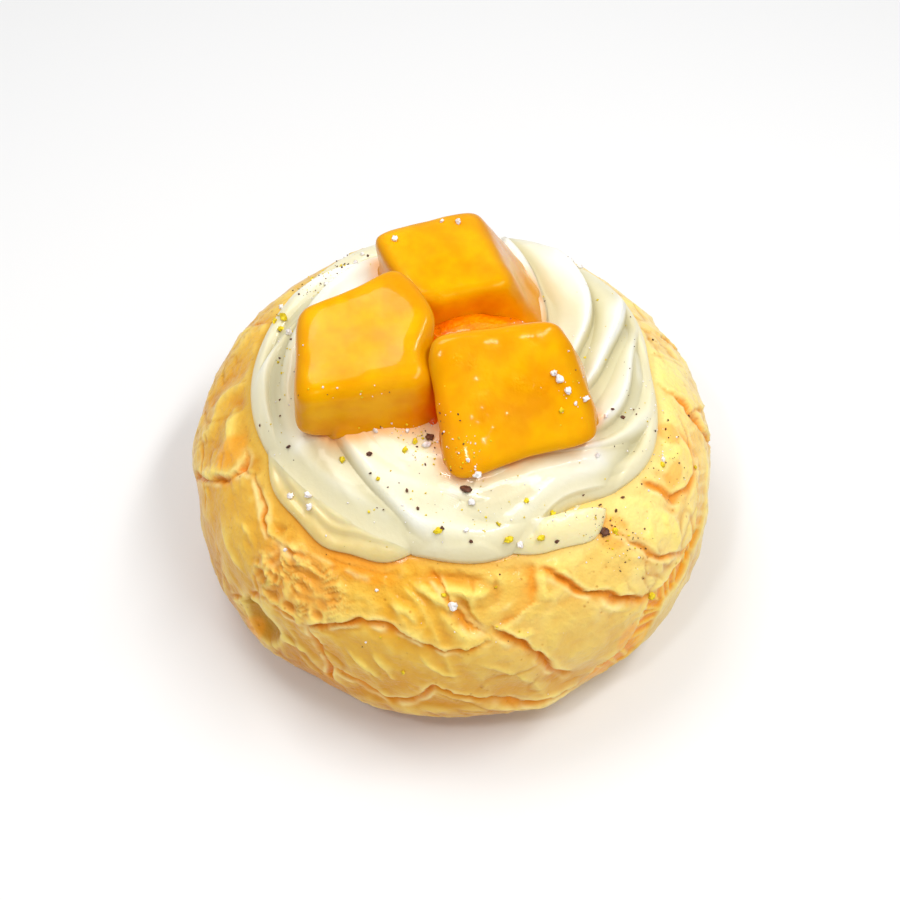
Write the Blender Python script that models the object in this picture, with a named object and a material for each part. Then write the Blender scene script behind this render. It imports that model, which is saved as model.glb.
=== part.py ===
"""A pineapple bun with a cracked crust, topped with custard, piped cream and three diced mango pieces.

The bun is a turned form with its crust relief added along the surface normal. The custard and the
cream are thin layers laid on it, and each mango piece is a rounded cube drawn to its own eight
corners. Azimuths are in degrees, counter-clockwise from +X as seen from above, and the front of the
bun faces -Y (270 degrees). An arc is the distance along the bun's surface from the crown's centre.
"""
import math

import bmesh
import bpy
import numpy as np

MM = 0.001  # every size below is in millimetres
COLLECTION = "pineapple_bun"

# The bun without its crust relief: a superellipse above its widest ring and an ellipse below it.
BUN_RADIUS = 50.0
BUN_WIDEST_Z = 16.4
CROWN_RISE = 33.0
CROWN_POWER = 3.17
FOOT_DROP = 28.1
FOOT_FLAT_ARC = 85.0   # the relief has faded out below this arc, so that the base stays flat
BUN_COLUMNS = 360
BUN_HIDDEN_RINGS = 8
BUN_CRUST_RINGS = 84
BUN_TRIANGLES = 6400

# Gaps that neighbouring pieces keep, so that no two solids touch.
GAP = 0.4
CORE_GAP = 0.3         # added to the gap where a layer is hidden from view

# Crust cracks: depth, half width, height of the lifted lip, the lip's side (1 left of the line's
# direction, -1 right, 0 both), and the line's points as (azimuth, arc).
CRACKS = {
    "left_notch": (2.1, 1.0, 0.6, 1, [(188, 61), (193, 56), (197, 51), (202, 46), (201, 42)]),
    "left_collar": (1.9, 1.0, 0.6, 1, [(202, 43), (212, 42.5), (217, 43.3), (221, 45), (232, 45.5)]),
    "left_rim_crease": (0.8, 0.7, 0.2, 0, [(200, 55), (206, 59), (208, 62), (213, 63.5), (220, 65)]),
    "front_left_long": (2.2, 1.1, 0.9, 1, [(231, 57.4), (237, 57.5), (243, 53.5), (250, 50), (257, 51),
                                           (264, 52.6), (270, 54.2), (277, 53)]),
    "front_left_drop": (2.3, 1.1, 0.6, -1, [(238, 57), (241, 60.5), (243, 65.6), (243.5, 71)]),
    "foot_line": (1.7, 1.0, 0.3, 0, [(243, 66.5), (250, 67.5), (256, 70.5), (264, 69), (272, 66),
                                     (280, 70.5), (288, 72), (300, 74)]),
    "front_diagonal": (2.6, 1.3, 0.8, 0, [(272, 41), (275, 46), (279, 50.6), (283, 54.5), (286, 59),
                                          (290, 65), (296, 71)]),
    "front_channel": (1.0, 2.0, 0.3, 0, [(289, 40), (287.5, 46.5), (284, 48.5), (280, 50.2)]),
    "right_long": (2.3, 1.1, 0.8, -1, [(290, 40.5), (295, 43.5), (299, 46), (303, 50), (305, 53),
                                       (311, 56.6)]),
    "front_crease": (1.1, 1.1, 0.3, 0, [(263, 38.5), (266, 42), (269, 48), (272, 51.5)]),
    "right_short": (1.9, 1.1, 0.6, 0, [(330, 38), (330, 41), (332, 44.5), (334, 48), (337, 50.5)]),
    "patch_edge": (1.4, 0.9, 0.4, 1, [(227, 47), (225, 50.5), (222, 55), (224, 58.5), (231, 57.4)]),
    "custard_edge": (1.2, 1.0, 0.3, 0, [(233, 43.5), (238, 43), (246, 42.5), (254, 41.5), (260, 40)]),
    "lump_edge": (2.1, 1.1, 0.7, 1, [(318, 43), (319, 49), (324, 54), (329, 58), (332, 55), (334, 50)]),
    "right_rim": (1.6, 0.9, 0.7, 1, [(298, 76), (301, 74), (304, 70), (309, 63), (316, 60), (321, 55),
                                     (332, 56.7), (338, 55.4), (344, 57), (352, 60)]),
}

# The back isn't in view: its cracks follow the front's spacing by a seeded rule.
BACK_SEED = 11
BACK_FIRST, BACK_LAST, BACK_STEP = 2.0, 182.0, 30.0
BACK_TOP_ARC, BACK_MID_ARC, BACK_LOW_ARC = 40.0, 54.0, 70.0
BACK_DEPTH, BACK_HALF_WIDTH, BACK_LIP = 2.1, 1.1, 0.7

LIP_REACH = 5.0        # a lifted lip fades over this distance

# Bare bread shows in a strip below the right rim's crack: its width and depth, and the spacing and
# height of the short stretch ridges across it.
BREAD_LINE = "right_rim"
BREAD_WIDTH, BREAD_DEPTH = 5.0, 1.1
RIDGE_SPACING, RIDGE_HEIGHT = 1.7, 0.3

CRACK_WANDER = ((6.0, 1.1), (2.2, 0.35))    # wavelength and size of each crack's sideways wander
SWELL_SEED = 271
SWELLS = ((19.0, 0.65), (8.0, 0.35), (3.5, 0.14))   # wavelength and height of the crust's soft swells

# Crust features as azimuth, arc, half length round the bun, half height along it, and relief.
FOOT_BAND = (270.0, 76.0, 24.0, 5.0, 0.7)
HOLLOW = (226.0, 64.0, 3.6, 4.2, -2.6)
CRUMBLED_PATCH = (235.0, 49.0, 9.0, 7.0, 0.75)
LUMPY_PATCH = (324.0, 49.5, 5.0, 5.0, 0.8)

# Cream: a low piped mound whose folds are spirals, and a rim that swells and draws in.
CREAM_RADIUS = 37.4
CREAM_HEIGHT = 5.1
CREAM_LIFT = 0.5                            # least thickness, at the rim
CREAM_MOUND = (6.0, 0.75)                   # the mound's two powers
CREAM_RISE = ((62, 34, 2.3), (128, 30, 1.7))    # the back stands higher: azimuth, width and rise
CREAM_RIM = ((279, 16, 0.9), (302, 13, -1.3), (337, 12, 1.0), (5, 11, -0.9), (30, 14, 1.2),
             (232, 20, 0.5), (120, 50, 0.5))          # azimuth, width and outward swell
FOLD_CORE = 0.4        # the folds stop turning inside this share of the radius, where they are hidden
FOLD_LIFT = 1.0        # the folded ring stands this much above the plain mound
FOLD_RUN = 6.0         # the cream sinks towards a fold over this distance
FOLD_BULGE = 4.5       # and the edge that laps over it bulges over this one
# Each fold: azimuth where it meets the rim, spiral pitch, depth, width of its steep side, height of
# the edge that laps over it, and the share of the radius where it starts.
CREAM_FOLDS = ((252, 0.12, 2.5, 1.6, 0.3, 0.55), (252, 0.27, 2.0, 1.8, 0.4, 0.6),
               (267, 0.33, 2.7, 1.6, 1.0, 0.66), (334, 0.22, 2.1, 1.6, 0.4, 0.74),
               (353, 0.29, 2.5, 1.1, 0.8, 0.66), (27, 0.234, 2.6, 0.8, 1.0, 0.6),
               (33, 0.49, 2.6, 0.8, 1.1, 0.5), (62, 0.457, 2.4, 0.9, 0.8, 0.45),
               (84, 0.70, 2.0, 1.2, 0.6, 0.4), (118, 0.50, 2.4, 0.9, 0.8, 0.5),
               (150, 0.42, 2.4, 0.9, 0.8, 0.5), (186, 0.30, 2.2, 1.1, 0.7, 0.6))
CREAM_COLUMNS = 400
CREAM_RINGS = 100
CREAM_TWIST = 0.3                            # the mesh's own spiral pitch, so that its lines follow the folds
CREAM_TRIANGLES = 2400

# Custard: a thin layer under the cream that runs out past it in two lobes.
CUSTARD_RADIUS = 34.6
CUSTARD_THICKNESS = 1.9
CUSTARD_LOBES = ((237, 22, 5.7), (304, 20, 6.3), (216, 10, 1.6), (256, 9, 1.4))
CUSTARD_LIFT = 0.25    # least thickness, at the rim
CUSTARD_COLUMNS = 60
CUSTARD_RINGS = 5

# Mango pieces: corners of the top face and then of the bottom face, each from the back left clockwise.
MANGO_POWER = 9.0      # roundness of the cube: 2 is a ball, and a high power is a sharp cube
MANGO_SWELL = 1.07     # makes up for what the rounding takes off the corners
MANGO_CUTS = 5
SOCKET_GAP = 0.55      # the cream's sockets are this much wider than the mango pieces
MANGO = {
    "mango_back": [(-14.8, 17.6, 67.5), (3.5, 23.5, 68.0), (10.2, 5.6, 67.0), (-7.1, 2.3, 66.5),
                   (-13.5, 19.5, 54.0), (10.5, 26.5, 55.5), (17.4, 7.0, 54.0), (-5.6, 1.4, 53.0)],
    "mango_left": [(-26.8, -0.8, 68.0), (-9.1, 5.0, 70.6), (-4.9, -15.0, 66.0), (-25.9, -18.0, 64.5),
                   (-26.4, -1.5, 54.0), (-9.5, 0.2, 53.5), (-3.0, -14.6, 53.0), (-26.8, -17.4, 53.0)],
    "mango_right": [(-1.6, -2.6, 60.0), (17.4, 0.6, 59.0), (17.7, -6.4, 71.0), (-4.6, -9.7, 70.0),
                    (-0.9, -16.6, 53.0), (22.6, -11.4, 53.0), (25.2, -20.9, 57.0), (-0.2, -29.2, 54.4)],
}
# A soft bulge on a piece: the place on its cube, the push outward, and the width in cube units.
MANGO_BULGE = {"mango_left": ((1.0, 0.1, 0.8), (2.2, 0.0, 0.3), 0.45),
               "mango_right": ((1.0, 0.2, 0.1), (1.3, 0.0, 0.5), 0.7)}

# Grains fused to what they lie on: the largest crumbs, drawn by seeded rule in these fields.
GRAIN_SEED = 5
GRAIN_RADIUS = (0.6, 1.0)
GRAIN_SINK = 0.35      # how far a grain is sunk, as a share of its radius
GRAIN_SPACING = 3.2    # least distance between two grains
GRAIN_BED = 1.3        # least thickness of a layer under a grain
# Round fields: count, first and last azimuth, and the first and last share of the cream's radius.
GRAIN_FIELDS = {
    "cream": ((12, 196, 345, 0.62, 0.93), (5, 132, 172, 0.72, 0.92), (6, -10, 130, 0.68, 0.92)),
    "custard": ((3, 292, 314, 1.06, 1.09),),
    "bun": ((7, 318, 345, 1.10, 1.22), (6, 200, 316, 1.18, 1.29), (3, 20, 170, 1.10, 1.24)),
}
# Fields on a mango piece's face: count, the face's direction, and the spans across the face.
MANGO_FIELDS = {"mango_right": (5, (0.0, -1.0), (0.3, 0.75), (-0.15, 0.5)),
                "mango_back": (2, (1.0, 0.0), (-0.7, 0.6), (0.2, 0.8)),
                "mango_left": (1, (1.0, 0.0), (-0.2, 0.3), (-0.7, -0.4))}

COLOURS = {  # base colour and roughness of each piece
    "bun": ((0.86, 0.56, 0.19), 0.5),
    "custard": ((0.90, 0.74, 0.36), 0.35),
    "cream": ((0.90, 0.85, 0.66), 0.4),
    "mango_back": ((0.95, 0.48, 0.02), 0.15),
    "mango_left": ((0.95, 0.48, 0.02), 0.15),
    "mango_right": ((0.95, 0.48, 0.02), 0.15),
}


# ---------------------------------------------------------------- shared measures

def ease(value):
    """A smooth step from 0 to 1."""
    value = np.clip(value, 0.0, 1.0)
    return value * value * (3.0 - 2.0 * value)


def turn_between(azimuth, centre):
    """The signed angle in degrees from centre to azimuth, between -180 and 180."""
    return (azimuth - centre + 180.0) % 360.0 - 180.0


def swells_round(azimuth, swells):
    """The sum of bell-shaped swells, each given by its azimuth, width and size."""
    return sum(size * np.exp(-(turn_between(azimuth, centre) / width) ** 2)
               for centre, width, size in swells)


def lattice_noise(points, wavelength, seed):
    """Smooth noise between -1 and 1: random values on a lattice, blended with an eased weight."""
    side = 32
    table = np.random.RandomState(seed).uniform(-1.0, 1.0, (side, side, side))
    scaled = points / wavelength
    cell = np.floor(scaled).astype(int)
    near = ease(scaled - cell)
    total = np.zeros(points.shape[:-1])
    for corner in np.ndindex(2, 2, 2):
        weight = np.prod(np.where(corner, near, 1.0 - near), axis=-1)
        index = (cell + corner) % side
        total += weight * table[index[..., 0], index[..., 1], index[..., 2]]
    return total


def bun_meridian():
    """Arc length, radius and height of the plain bun, from the crown's centre to the base's edge."""
    crown = np.linspace(math.pi / 2.0, 0.0, 3000)
    foot = np.linspace(0.0, math.asin(BUN_WIDEST_Z / FOOT_DROP), 400)[1:]
    radius = np.append(BUN_RADIUS * np.abs(np.cos(crown)) ** (2.0 / CROWN_POWER),
                       BUN_RADIUS * np.cos(foot))
    height = np.append(BUN_WIDEST_Z + CROWN_RISE * np.sin(crown) ** (2.0 / CROWN_POWER),
                       BUN_WIDEST_Z - FOOT_DROP * np.sin(foot))
    radius[0] = 0.0
    arc = np.append(0.0, np.cumsum(np.hypot(np.diff(radius), np.diff(height))))
    return arc, radius, height


ARC, RADIUS, HEIGHT = bun_meridian()


def at_height(azimuth, radius, height):
    """Points at the given azimuths, radii and heights."""
    turn = np.radians(azimuth)
    return np.stack([radius * np.cos(turn), radius * np.sin(turn), height], axis=-1)


def on_bun(azimuth, arc):
    """Points of the plain bun, and its outward normals, at the given azimuths and arcs."""
    step = 0.25
    turn = np.radians(azimuth)
    radius, height = np.interp(arc, ARC, RADIUS), np.interp(arc, ARC, HEIGHT)
    slope_r = np.interp(arc + step, ARC, RADIUS) - np.interp(arc - step, ARC, RADIUS)
    slope_z = np.interp(arc + step, ARC, HEIGHT) - np.interp(arc - step, ARC, HEIGHT)
    length = np.hypot(slope_r, slope_z)
    out, up = -slope_z / length, slope_r / length
    normals = np.stack([out * np.cos(turn), out * np.sin(turn), up], axis=-1)
    return at_height(azimuth, radius, height), normals


def bun_top(radius):
    """Height of the plain bun's crown at a radius from the axis."""
    return np.interp(radius, RADIUS[:3000], HEIGHT[:3000])


def cream_rim(azimuth):
    """Radius of the cream's rim."""
    return CREAM_RADIUS + swells_round(azimuth, CREAM_RIM)


def custard_rim(azimuth):
    """Radius of the custard's rim, inside the cream's except at its lobes."""
    return CUSTARD_RADIUS + swells_round(azimuth, CUSTARD_LOBES)


# ---------------------------------------------------------------- crust relief

def back_cracks():
    """Cracks of the unseen back: lines down the side, joined by short lines round it."""
    draw = np.random.RandomState(BACK_SEED)
    cracks = []
    knots = []
    for azimuth in np.arange(BACK_FIRST, BACK_LAST, BACK_STEP):
        arcs = np.linspace(BACK_TOP_ARC, BACK_LOW_ARC, 5) + draw.uniform(-2.0, 2.0, 5)
        turns = azimuth + np.cumsum(draw.uniform(-5.0, 6.0, 5))
        line = list(zip(turns, arcs))
        knots.append((line[int(draw.randint(1, 4))], line[4]))
        cracks.append((BACK_DEPTH, BACK_HALF_WIDTH, BACK_LIP, int(draw.choice([-1, 0, 1])), line))
    for (left, low_left), (right, low_right) in zip(knots[:-1], knots[1:]):
        middle = (0.5 * (left[0] + right[0]), BACK_MID_ARC + draw.uniform(-5.0, 5.0))
        cracks.append((BACK_DEPTH * 0.8, BACK_HALF_WIDTH, BACK_LIP, -1, [left, middle, right]))
        low = (0.5 * (low_left[0] + low_right[0]), BACK_LOW_ARC + draw.uniform(-2.0, 3.0))
        cracks.append((BACK_DEPTH * 0.7, BACK_HALF_WIDTH, 0.3, 0, [low_left, low, low_right]))
    return cracks


def distance_to_line(points, normals, line):
    """Distance to a line of points, the side of it, and how far along it the nearest place is."""
    best = np.full(points.shape[:-1], 1e9)
    side = np.zeros_like(best)
    along = np.zeros_like(best)
    lengths = np.linalg.norm(np.diff(line, axis=0), axis=1)
    before = np.append(0.0, np.cumsum(lengths))
    for start, end, length, run in zip(line[:-1], line[1:], lengths, before):
        heading = (end - start) / length
        offset = points - start
        reach = np.clip(offset @ heading, 0.0, length)
        gap = np.linalg.norm(offset - reach[..., None] * heading, axis=-1)
        nearer = gap < best
        turn = np.einsum("...i,...i", np.cross(heading, offset), normals)
        best = np.where(nearer, gap, best)
        side = np.where(nearer, np.sign(turn), side)
        along = np.where(nearer, (run + reach) / before[-1], along)
    return best, side, along


def crack_relief(points, normals):
    """Grooves and lifted lips of all cracks: the deepest groove and the highest lip hold."""
    wander = np.stack([sum(size * lattice_noise(points, wave, 31 + 7 * axis + index)
                           for index, (wave, size) in enumerate(CRACK_WANDER))
                       for axis in range(3)], axis=-1)
    moved = points + wander
    groove = np.zeros(points.shape[:-1])
    lip = np.zeros_like(groove)
    for depth, half_width, rise, lip_side, line in list(CRACKS.values()) + back_cracks():
        azimuths, arcs = np.array(line, dtype=float).T
        distance, side, along = distance_to_line(moved, normals, on_bun(azimuths, arcs)[0])
        taper = 0.3 + 0.7 * ease(np.minimum(along, 1.0 - along) / 0.12)
        valley = np.exp(-(distance / half_width) ** 2)
        lifted = np.where(side == lip_side, 1.0, 0.0) if lip_side else 0.6
        groove = np.maximum(groove, depth * taper * valley)
        lip = np.maximum(lip, rise * taper * lifted * (1.0 - valley) * np.exp(-distance / LIP_REACH))
    return lip - groove


def bread_relief(points, normals):
    """The sunken strip of bare bread beside its crack, with stretch ridges across it."""
    azimuths, arcs = np.array(CRACKS[BREAD_LINE][4], dtype=float).T
    line = on_bun(azimuths, arcs)[0]
    distance, side, along = distance_to_line(points, normals, line)
    length = np.linalg.norm(np.diff(line, axis=0), axis=1).sum()
    strip = ease((BREAD_WIDTH - distance) / 1.5) * (side < 0) * ease(np.minimum(along, 1.0 - along) / 0.08)
    ridges = np.sin(2.0 * math.pi * along * length / RIDGE_SPACING)
    return strip * (RIDGE_HEIGHT * ridges - BREAD_DEPTH)


def patch_weight(azimuth, arc, feature):
    """How far a place lies inside a feature: 1 in the middle and 0 outside it, with a soft edge."""
    centre, middle, half_turn, half_arc = feature[:4]
    away = np.hypot(turn_between(azimuth, centre) / half_turn, (arc - middle) / half_arc)
    return ease((1.25 - away) / 0.5)


def crust_relief(azimuth, arc):
    """Height of the baked crust over the plain bun."""
    points, normals = on_bun(azimuth, arc)
    relief = sum(height * lattice_noise(points, wave, SWELL_SEED + index)
                 for index, (wave, height) in enumerate(SWELLS))
    relief = relief + crack_relief(points, normals)
    relief = relief + bread_relief(points, normals)
    for feature in (FOOT_BAND, HOLLOW):
        relief = relief + feature[4] * patch_weight(azimuth, arc, feature)
    crumbs = 1.0 - 2.0 * np.abs(lattice_noise(points * (1.0, 1.0, 1.6), 2.6, 21))
    relief = relief + CRUMBLED_PATCH[4] * crumbs * patch_weight(azimuth, arc, CRUMBLED_PATCH)
    lumps = lattice_noise(points, 3.6, 22)
    relief = relief + LUMPY_PATCH[4] * lumps * patch_weight(azimuth, arc, LUMPY_PATCH)
    cover = np.maximum(cream_rim(azimuth), custard_rim(azimuth))
    covered_arc = np.interp(cover, RADIUS[:3000], ARC[:3000])
    bare = ease((arc - covered_arc - 0.3) / 3.0)
    foot = ease((FOOT_FLAT_ARC - arc) / 9.0)
    return relief * bare * foot


# ---------------------------------------------------------------- mesh helpers

def new_object(name, collection, vertices, faces):
    """An object in the collection from vertices in millimetres."""
    mesh = bpy.data.meshes.new(name)
    mesh.from_pydata((np.asarray(vertices) * MM).tolist(), [], faces)
    mesh.update()
    thing = bpy.data.objects.new(name, mesh)
    collection.objects.link(thing)
    return thing


def closed_grid(rings):
    """Vertices and faces of a closed form: rings of points between two pole points."""
    columns = rings[1].shape[0]
    vertices = np.concatenate([rings[0][:1]] + list(rings[1:-1]) + [rings[-1][:1]])
    last = len(vertices) - 1
    step = np.arange(columns)
    after = (step + 1) % columns
    faces = [(0, 1 + a, 1 + b) for a, b in zip(step, after)]
    for ring in range(len(rings) - 3):
        top, low = 1 + ring * columns, 1 + (ring + 1) * columns
        faces += [(top + a, low + a, low + b, top + b) for a, b in zip(step, after)]
    low = 1 + (len(rings) - 3) * columns
    faces += [(low + a, last, low + b) for a, b in zip(step, after)]
    return vertices, [tuple(int(corner) for corner in face) for face in faces]


def settle(thing):
    """Applies an object's modifiers to its mesh."""
    bpy.context.view_layer.update()
    evaluated = thing.evaluated_get(bpy.context.evaluated_depsgraph_get())
    mesh = bpy.data.meshes.new_from_object(evaluated)
    thing.modifiers.clear()
    thing.data = mesh


def thin_out(thing, triangles):
    """Thins a fine mesh to a number of triangles, which keeps its sharp relief best."""
    bm = bmesh.new()
    bm.from_mesh(thing.data)
    bmesh.ops.triangulate(bm, faces=bm.faces)
    bm.to_mesh(thing.data)
    count = len(bm.faces)
    bm.free()
    modifier = thing.modifiers.new("thin_out", "DECIMATE")
    modifier.ratio = triangles / count
    settle(thing)


def carve(thing, cutters, operation):
    """Cuts or joins a collection of closed meshes, and then removes them."""
    modifier = thing.modifiers.new("carve", "BOOLEAN")
    modifier.operation = operation
    modifier.operand_type = "COLLECTION"
    modifier.collection = cutters
    modifier.solver = "EXACT"
    settle(thing)
    for cutter in list(cutters.objects):
        bpy.data.objects.remove(cutter, do_unlink=True)
    bpy.data.collections.remove(cutters)


def cutter_collection(name):
    """A collection for meshes that only cut or join."""
    cutters = bpy.data.collections.new(name)
    bpy.context.scene.collection.children.link(cutters)
    return cutters


def drop_scraps(thing):
    """Keeps the largest joined piece of a mesh and removes loose scraps."""
    bm = bmesh.new()
    bm.from_mesh(thing.data)
    bmesh.ops.remove_doubles(bm, verts=bm.verts, dist=1e-7)
    left, pieces = set(bm.verts), []
    while left:
        stack, piece = [left.pop()], []
        while stack:
            vertex = stack.pop()
            piece.append(vertex)
            for edge in vertex.link_edges:
                other = edge.other_vert(vertex)
                if other in left:
                    left.remove(other)
                    stack.append(other)
        pieces.append(piece)
    pieces.sort(key=len)
    for piece in pieces[:-1]:
        bmesh.ops.delete(bm, geom=piece, context="VERTS")
    bmesh.ops.triangulate(bm, faces=bm.faces)
    bm.to_mesh(thing.data)
    bm.free()


def finish_look(thing):
    """Gives a piece its material, shaded smooth with sharp creases."""
    colour, roughness = COLOURS[thing.name]
    material = bpy.data.materials.new(thing.name)
    material.use_nodes = True
    shader = material.node_tree.nodes["Principled BSDF"]
    shader.inputs["Base Color"].default_value = (*colour, 1.0)
    shader.inputs["Roughness"].default_value = roughness
    shader.inputs["Metallic"].default_value = 0.0
    thing.data.materials.clear()
    thing.data.materials.append(material)
    thing.data.shade_smooth()
    thing.data.set_sharp_from_angle(angle=math.radians(50.0))


# ---------------------------------------------------------------- pieces

def make_bun(collection):
    """The bun: crust rings from the crown to the foot, closed by a flat base."""
    azimuth = np.arange(BUN_COLUMNS) * 360.0 / BUN_COLUMNS
    arcs = np.append(np.linspace(0.0, 34.0, BUN_HIDDEN_RINGS, endpoint=False),
                     np.linspace(34.0, ARC[-1], BUN_CRUST_RINGS))
    around, down = np.meshgrid(azimuth, arcs)
    points, normals = on_bun(around, down)
    points = points + crust_relief(around, down)[..., None] * normals
    points[-1, :, 2] = 0.0
    rings = list(points) + [points[-1] * (share, share, 0.0) for share in (0.66, 0.33, 0.0)]
    bun = new_object("bun", collection, *closed_grid(rings))
    thin_out(bun, BUN_TRIANGLES)
    for vertex in bun.data.vertices:
        if vertex.co.z < 0.15 * MM:
            vertex.co.z = 0.0
    return bun


def custard_depth(azimuth, radius):
    """Thickness of the custard, which rounds off to nothing at its rim."""
    share = np.clip(radius / custard_rim(azimuth), 0.0, 1.0)
    return CUSTARD_THICKNESS * np.sqrt(1.0 - share ** 9)


def layer_gap(radius):
    """Gap under a layer: wider where it is hidden."""
    return GAP + CORE_GAP * ease((36.5 - radius) / 5.0)


def custard_levels(azimuth, radius):
    """Heights of the custard's underside and top."""
    low = bun_top(radius) + layer_gap(radius)
    return low, low + custard_depth(azimuth, radius) + CUSTARD_LIFT


def make_custard(collection):
    """The custard: a thin disc laid on the crown."""
    azimuth = np.arange(CUSTARD_COLUMNS) * 360.0 / CUSTARD_COLUMNS
    share = np.sin(np.linspace(0.0, math.pi / 2.0, CUSTARD_RINGS))
    around, out = np.meshgrid(azimuth, share)
    radius = out * custard_rim(around)
    low, high = custard_levels(around, radius)
    upper, lower = at_height(around, radius, high), at_height(around, radius, low)
    return new_object("custard", collection, *closed_grid(list(upper) + list(lower[::-1])))


def fold_height(azimuth, radius):
    """Height of the piped folds: the cream sinks towards a spiral line, and laps over it beyond."""
    share = np.maximum(radius / cream_rim(azimuth), FOLD_CORE)
    total = np.zeros(share.shape)
    for meets_rim, pitch, depth, steep, lap, start in CREAM_FOLDS:
        past = turn_between(azimuth - np.degrees(np.log(share) / pitch), meets_rim)
        across = np.radians(past) * radius * pitch / math.hypot(1.0, pitch)
        outer = -depth * np.exp(np.minimum(across, 0.0) / FOLD_RUN)
        inward = np.maximum(across, 0.0)
        rise = np.exp(-(inward / steep) ** 1.5)
        inner = lap * (1.0 - rise) * np.exp(-inward / FOLD_BULGE) - depth * rise
        total += np.where(across < 0.0, outer, inner) * ease((share - start) / 0.14)
    return total * ease((1.05 - share) / 0.14)


def cream_levels(azimuth, radius):
    """Heights of the cream's underside, which clears the custard, and of its folded top."""
    share = np.clip(radius / cream_rim(azimuth), 0.0, 1.0)
    power, root = CREAM_MOUND
    rise = swells_round(azimuth, CREAM_RISE) * ease((share - 0.35) / 0.35)
    mound = (CREAM_HEIGHT + rise) * (1.0 - share ** power) ** root
    folded_ring = FOLD_LIFT * ease((share - 0.5) / 0.3) * ease((1.05 - share) / 0.14)
    floor = bun_top(radius) + layer_gap(radius)
    over_custard = ease((custard_rim(azimuth) + 1.6 - radius) / 1.2)
    low = floor + (custard_depth(azimuth, radius) + CUSTARD_LIFT + layer_gap(radius)) * over_custard
    high = floor + mound + folded_ring + fold_height(azimuth, radius)
    return low, np.maximum(high, low) + CREAM_LIFT


def make_cream(collection):
    """The cream: a piped mound over the bun and the custard."""
    azimuth = np.arange(CREAM_COLUMNS) * 360.0 / CREAM_COLUMNS
    share = np.sin(np.linspace(0.0, math.pi / 2.0, CREAM_RINGS)) ** 0.9
    around, out = np.meshgrid(azimuth, share)
    around = around + np.degrees(np.log(np.maximum(out, FOLD_CORE)) / CREAM_TWIST)
    radius = out * cream_rim(around)
    low, high = cream_levels(around, radius)
    upper, lower = at_height(around, radius, high), at_height(around, radius, low)
    cream = new_object("cream", collection, *closed_grid(list(upper) + list(lower[::-1])))
    thin_out(cream, CREAM_TRIANGLES)
    return cream


def mango_surface(name, cube, clearance):
    """Points of a mango piece for points on a cube's faces, each coordinate from -1 to 1.

    A cube point is drawn onto a rounded cube and then blended between the piece's eight corners.
    """
    cube = np.asarray(cube, dtype=float)
    rounded = cube / (np.abs(cube) ** MANGO_POWER).sum(axis=-1, keepdims=True) ** (1.0 / MANGO_POWER)
    corners = np.array(MANGO[name])
    centre = corners.mean(axis=0)
    signs = [(-1, 1, 1), (1, 1, 1), (1, -1, 1), (-1, -1, 1),
             (-1, 1, -1), (1, 1, -1), (1, -1, -1), (-1, -1, -1)]
    points = sum(0.125 * np.prod(1.0 + rounded * np.array(sign), axis=-1)[..., None] * corner
                 for sign, corner in zip(signs, corners))
    if name in MANGO_BULGE:
        toward, push, width = MANGO_BULGE[name]
        near = np.exp(-(np.linalg.norm(rounded - toward, axis=-1) / width) ** 2)
        points = points + near[..., None] * np.array(push)
    return centre + (points - centre) * (MANGO_SWELL + clearance / 10.0)


def make_mango(name, collection, clearance=0.0):
    """A mango piece: a cube with cut faces, its points spread towards the edges and rounded."""
    bm = bmesh.new()
    bmesh.ops.create_cube(bm, size=2.0)
    bmesh.ops.subdivide_edges(bm, edges=bm.edges, cuts=MANGO_CUTS, use_grid_fill=True)
    cube = np.array([vertex.co[:] for vertex in bm.verts])
    cube = np.sin(cube * math.pi / 2.0 * 0.999)
    for vertex, point in zip(bm.verts, mango_surface(name, cube, clearance)):
        vertex.co = point * MM
    bmesh.ops.triangulate(bm, faces=bm.faces)
    mesh = bpy.data.meshes.new(name)
    bm.to_mesh(mesh)
    bm.free()
    mango = bpy.data.objects.new(name, mesh)
    collection.objects.link(mango)
    return mango


# ---------------------------------------------------------------- grains

LEVELS = {"cream": cream_levels, "custard": custard_levels}


def make_grain(place, normal, radius, draw, collection):
    """A crumb: a small uneven ball of twenty faces, sunk into what it lies on."""
    bm = bmesh.new()
    bmesh.ops.create_icosphere(bm, subdivisions=1, radius=radius)
    stretch = draw.uniform(0.75, 1.2, 3)
    turn = draw.uniform(0.0, math.pi, 2)
    spin = np.array([[math.cos(turn[0]), -math.sin(turn[0]), 0.0],
                     [math.sin(turn[0]), math.cos(turn[0]), 0.0], [0.0, 0.0, 1.0]])
    tilt = np.array([[1.0, 0.0, 0.0], [0.0, math.cos(turn[1]), -math.sin(turn[1])],
                     [0.0, math.sin(turn[1]), math.cos(turn[1])]])
    centre = place + normal * radius * (1.0 - 2.0 * GRAIN_SINK)
    for vertex in bm.verts:
        vertex.co = (centre + spin @ tilt @ (np.array(vertex.co) * stretch)) * MM
    mesh = bpy.data.meshes.new("grain")
    bm.to_mesh(mesh)
    bm.free()
    collection.objects.link(bpy.data.objects.new("grain", mesh))


def field_point(azimuth, share, surface):
    """A place on a layer or the crust, the surface's normal there, and how thick the layer is."""
    azimuth = np.array([azimuth, azimuth + 0.5, azimuth])
    radius = np.array([share, share, share + 0.01]) * cream_rim(azimuth)
    if surface == "bun":
        arc = np.interp(radius, RADIUS[:3000], ARC[:3000])
        points, normals = on_bun(azimuth, arc)
        points = points + crust_relief(azimuth, arc)[:, None] * normals
        return points[0], normals[0], BUN_RADIUS
    low, high = LEVELS[surface](azimuth, radius)
    points = at_height(azimuth, radius, high)
    normal = np.cross(points[2] - points[0], points[1] - points[0])
    return points[0], normal / np.linalg.norm(normal), (high - low)[0]


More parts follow.
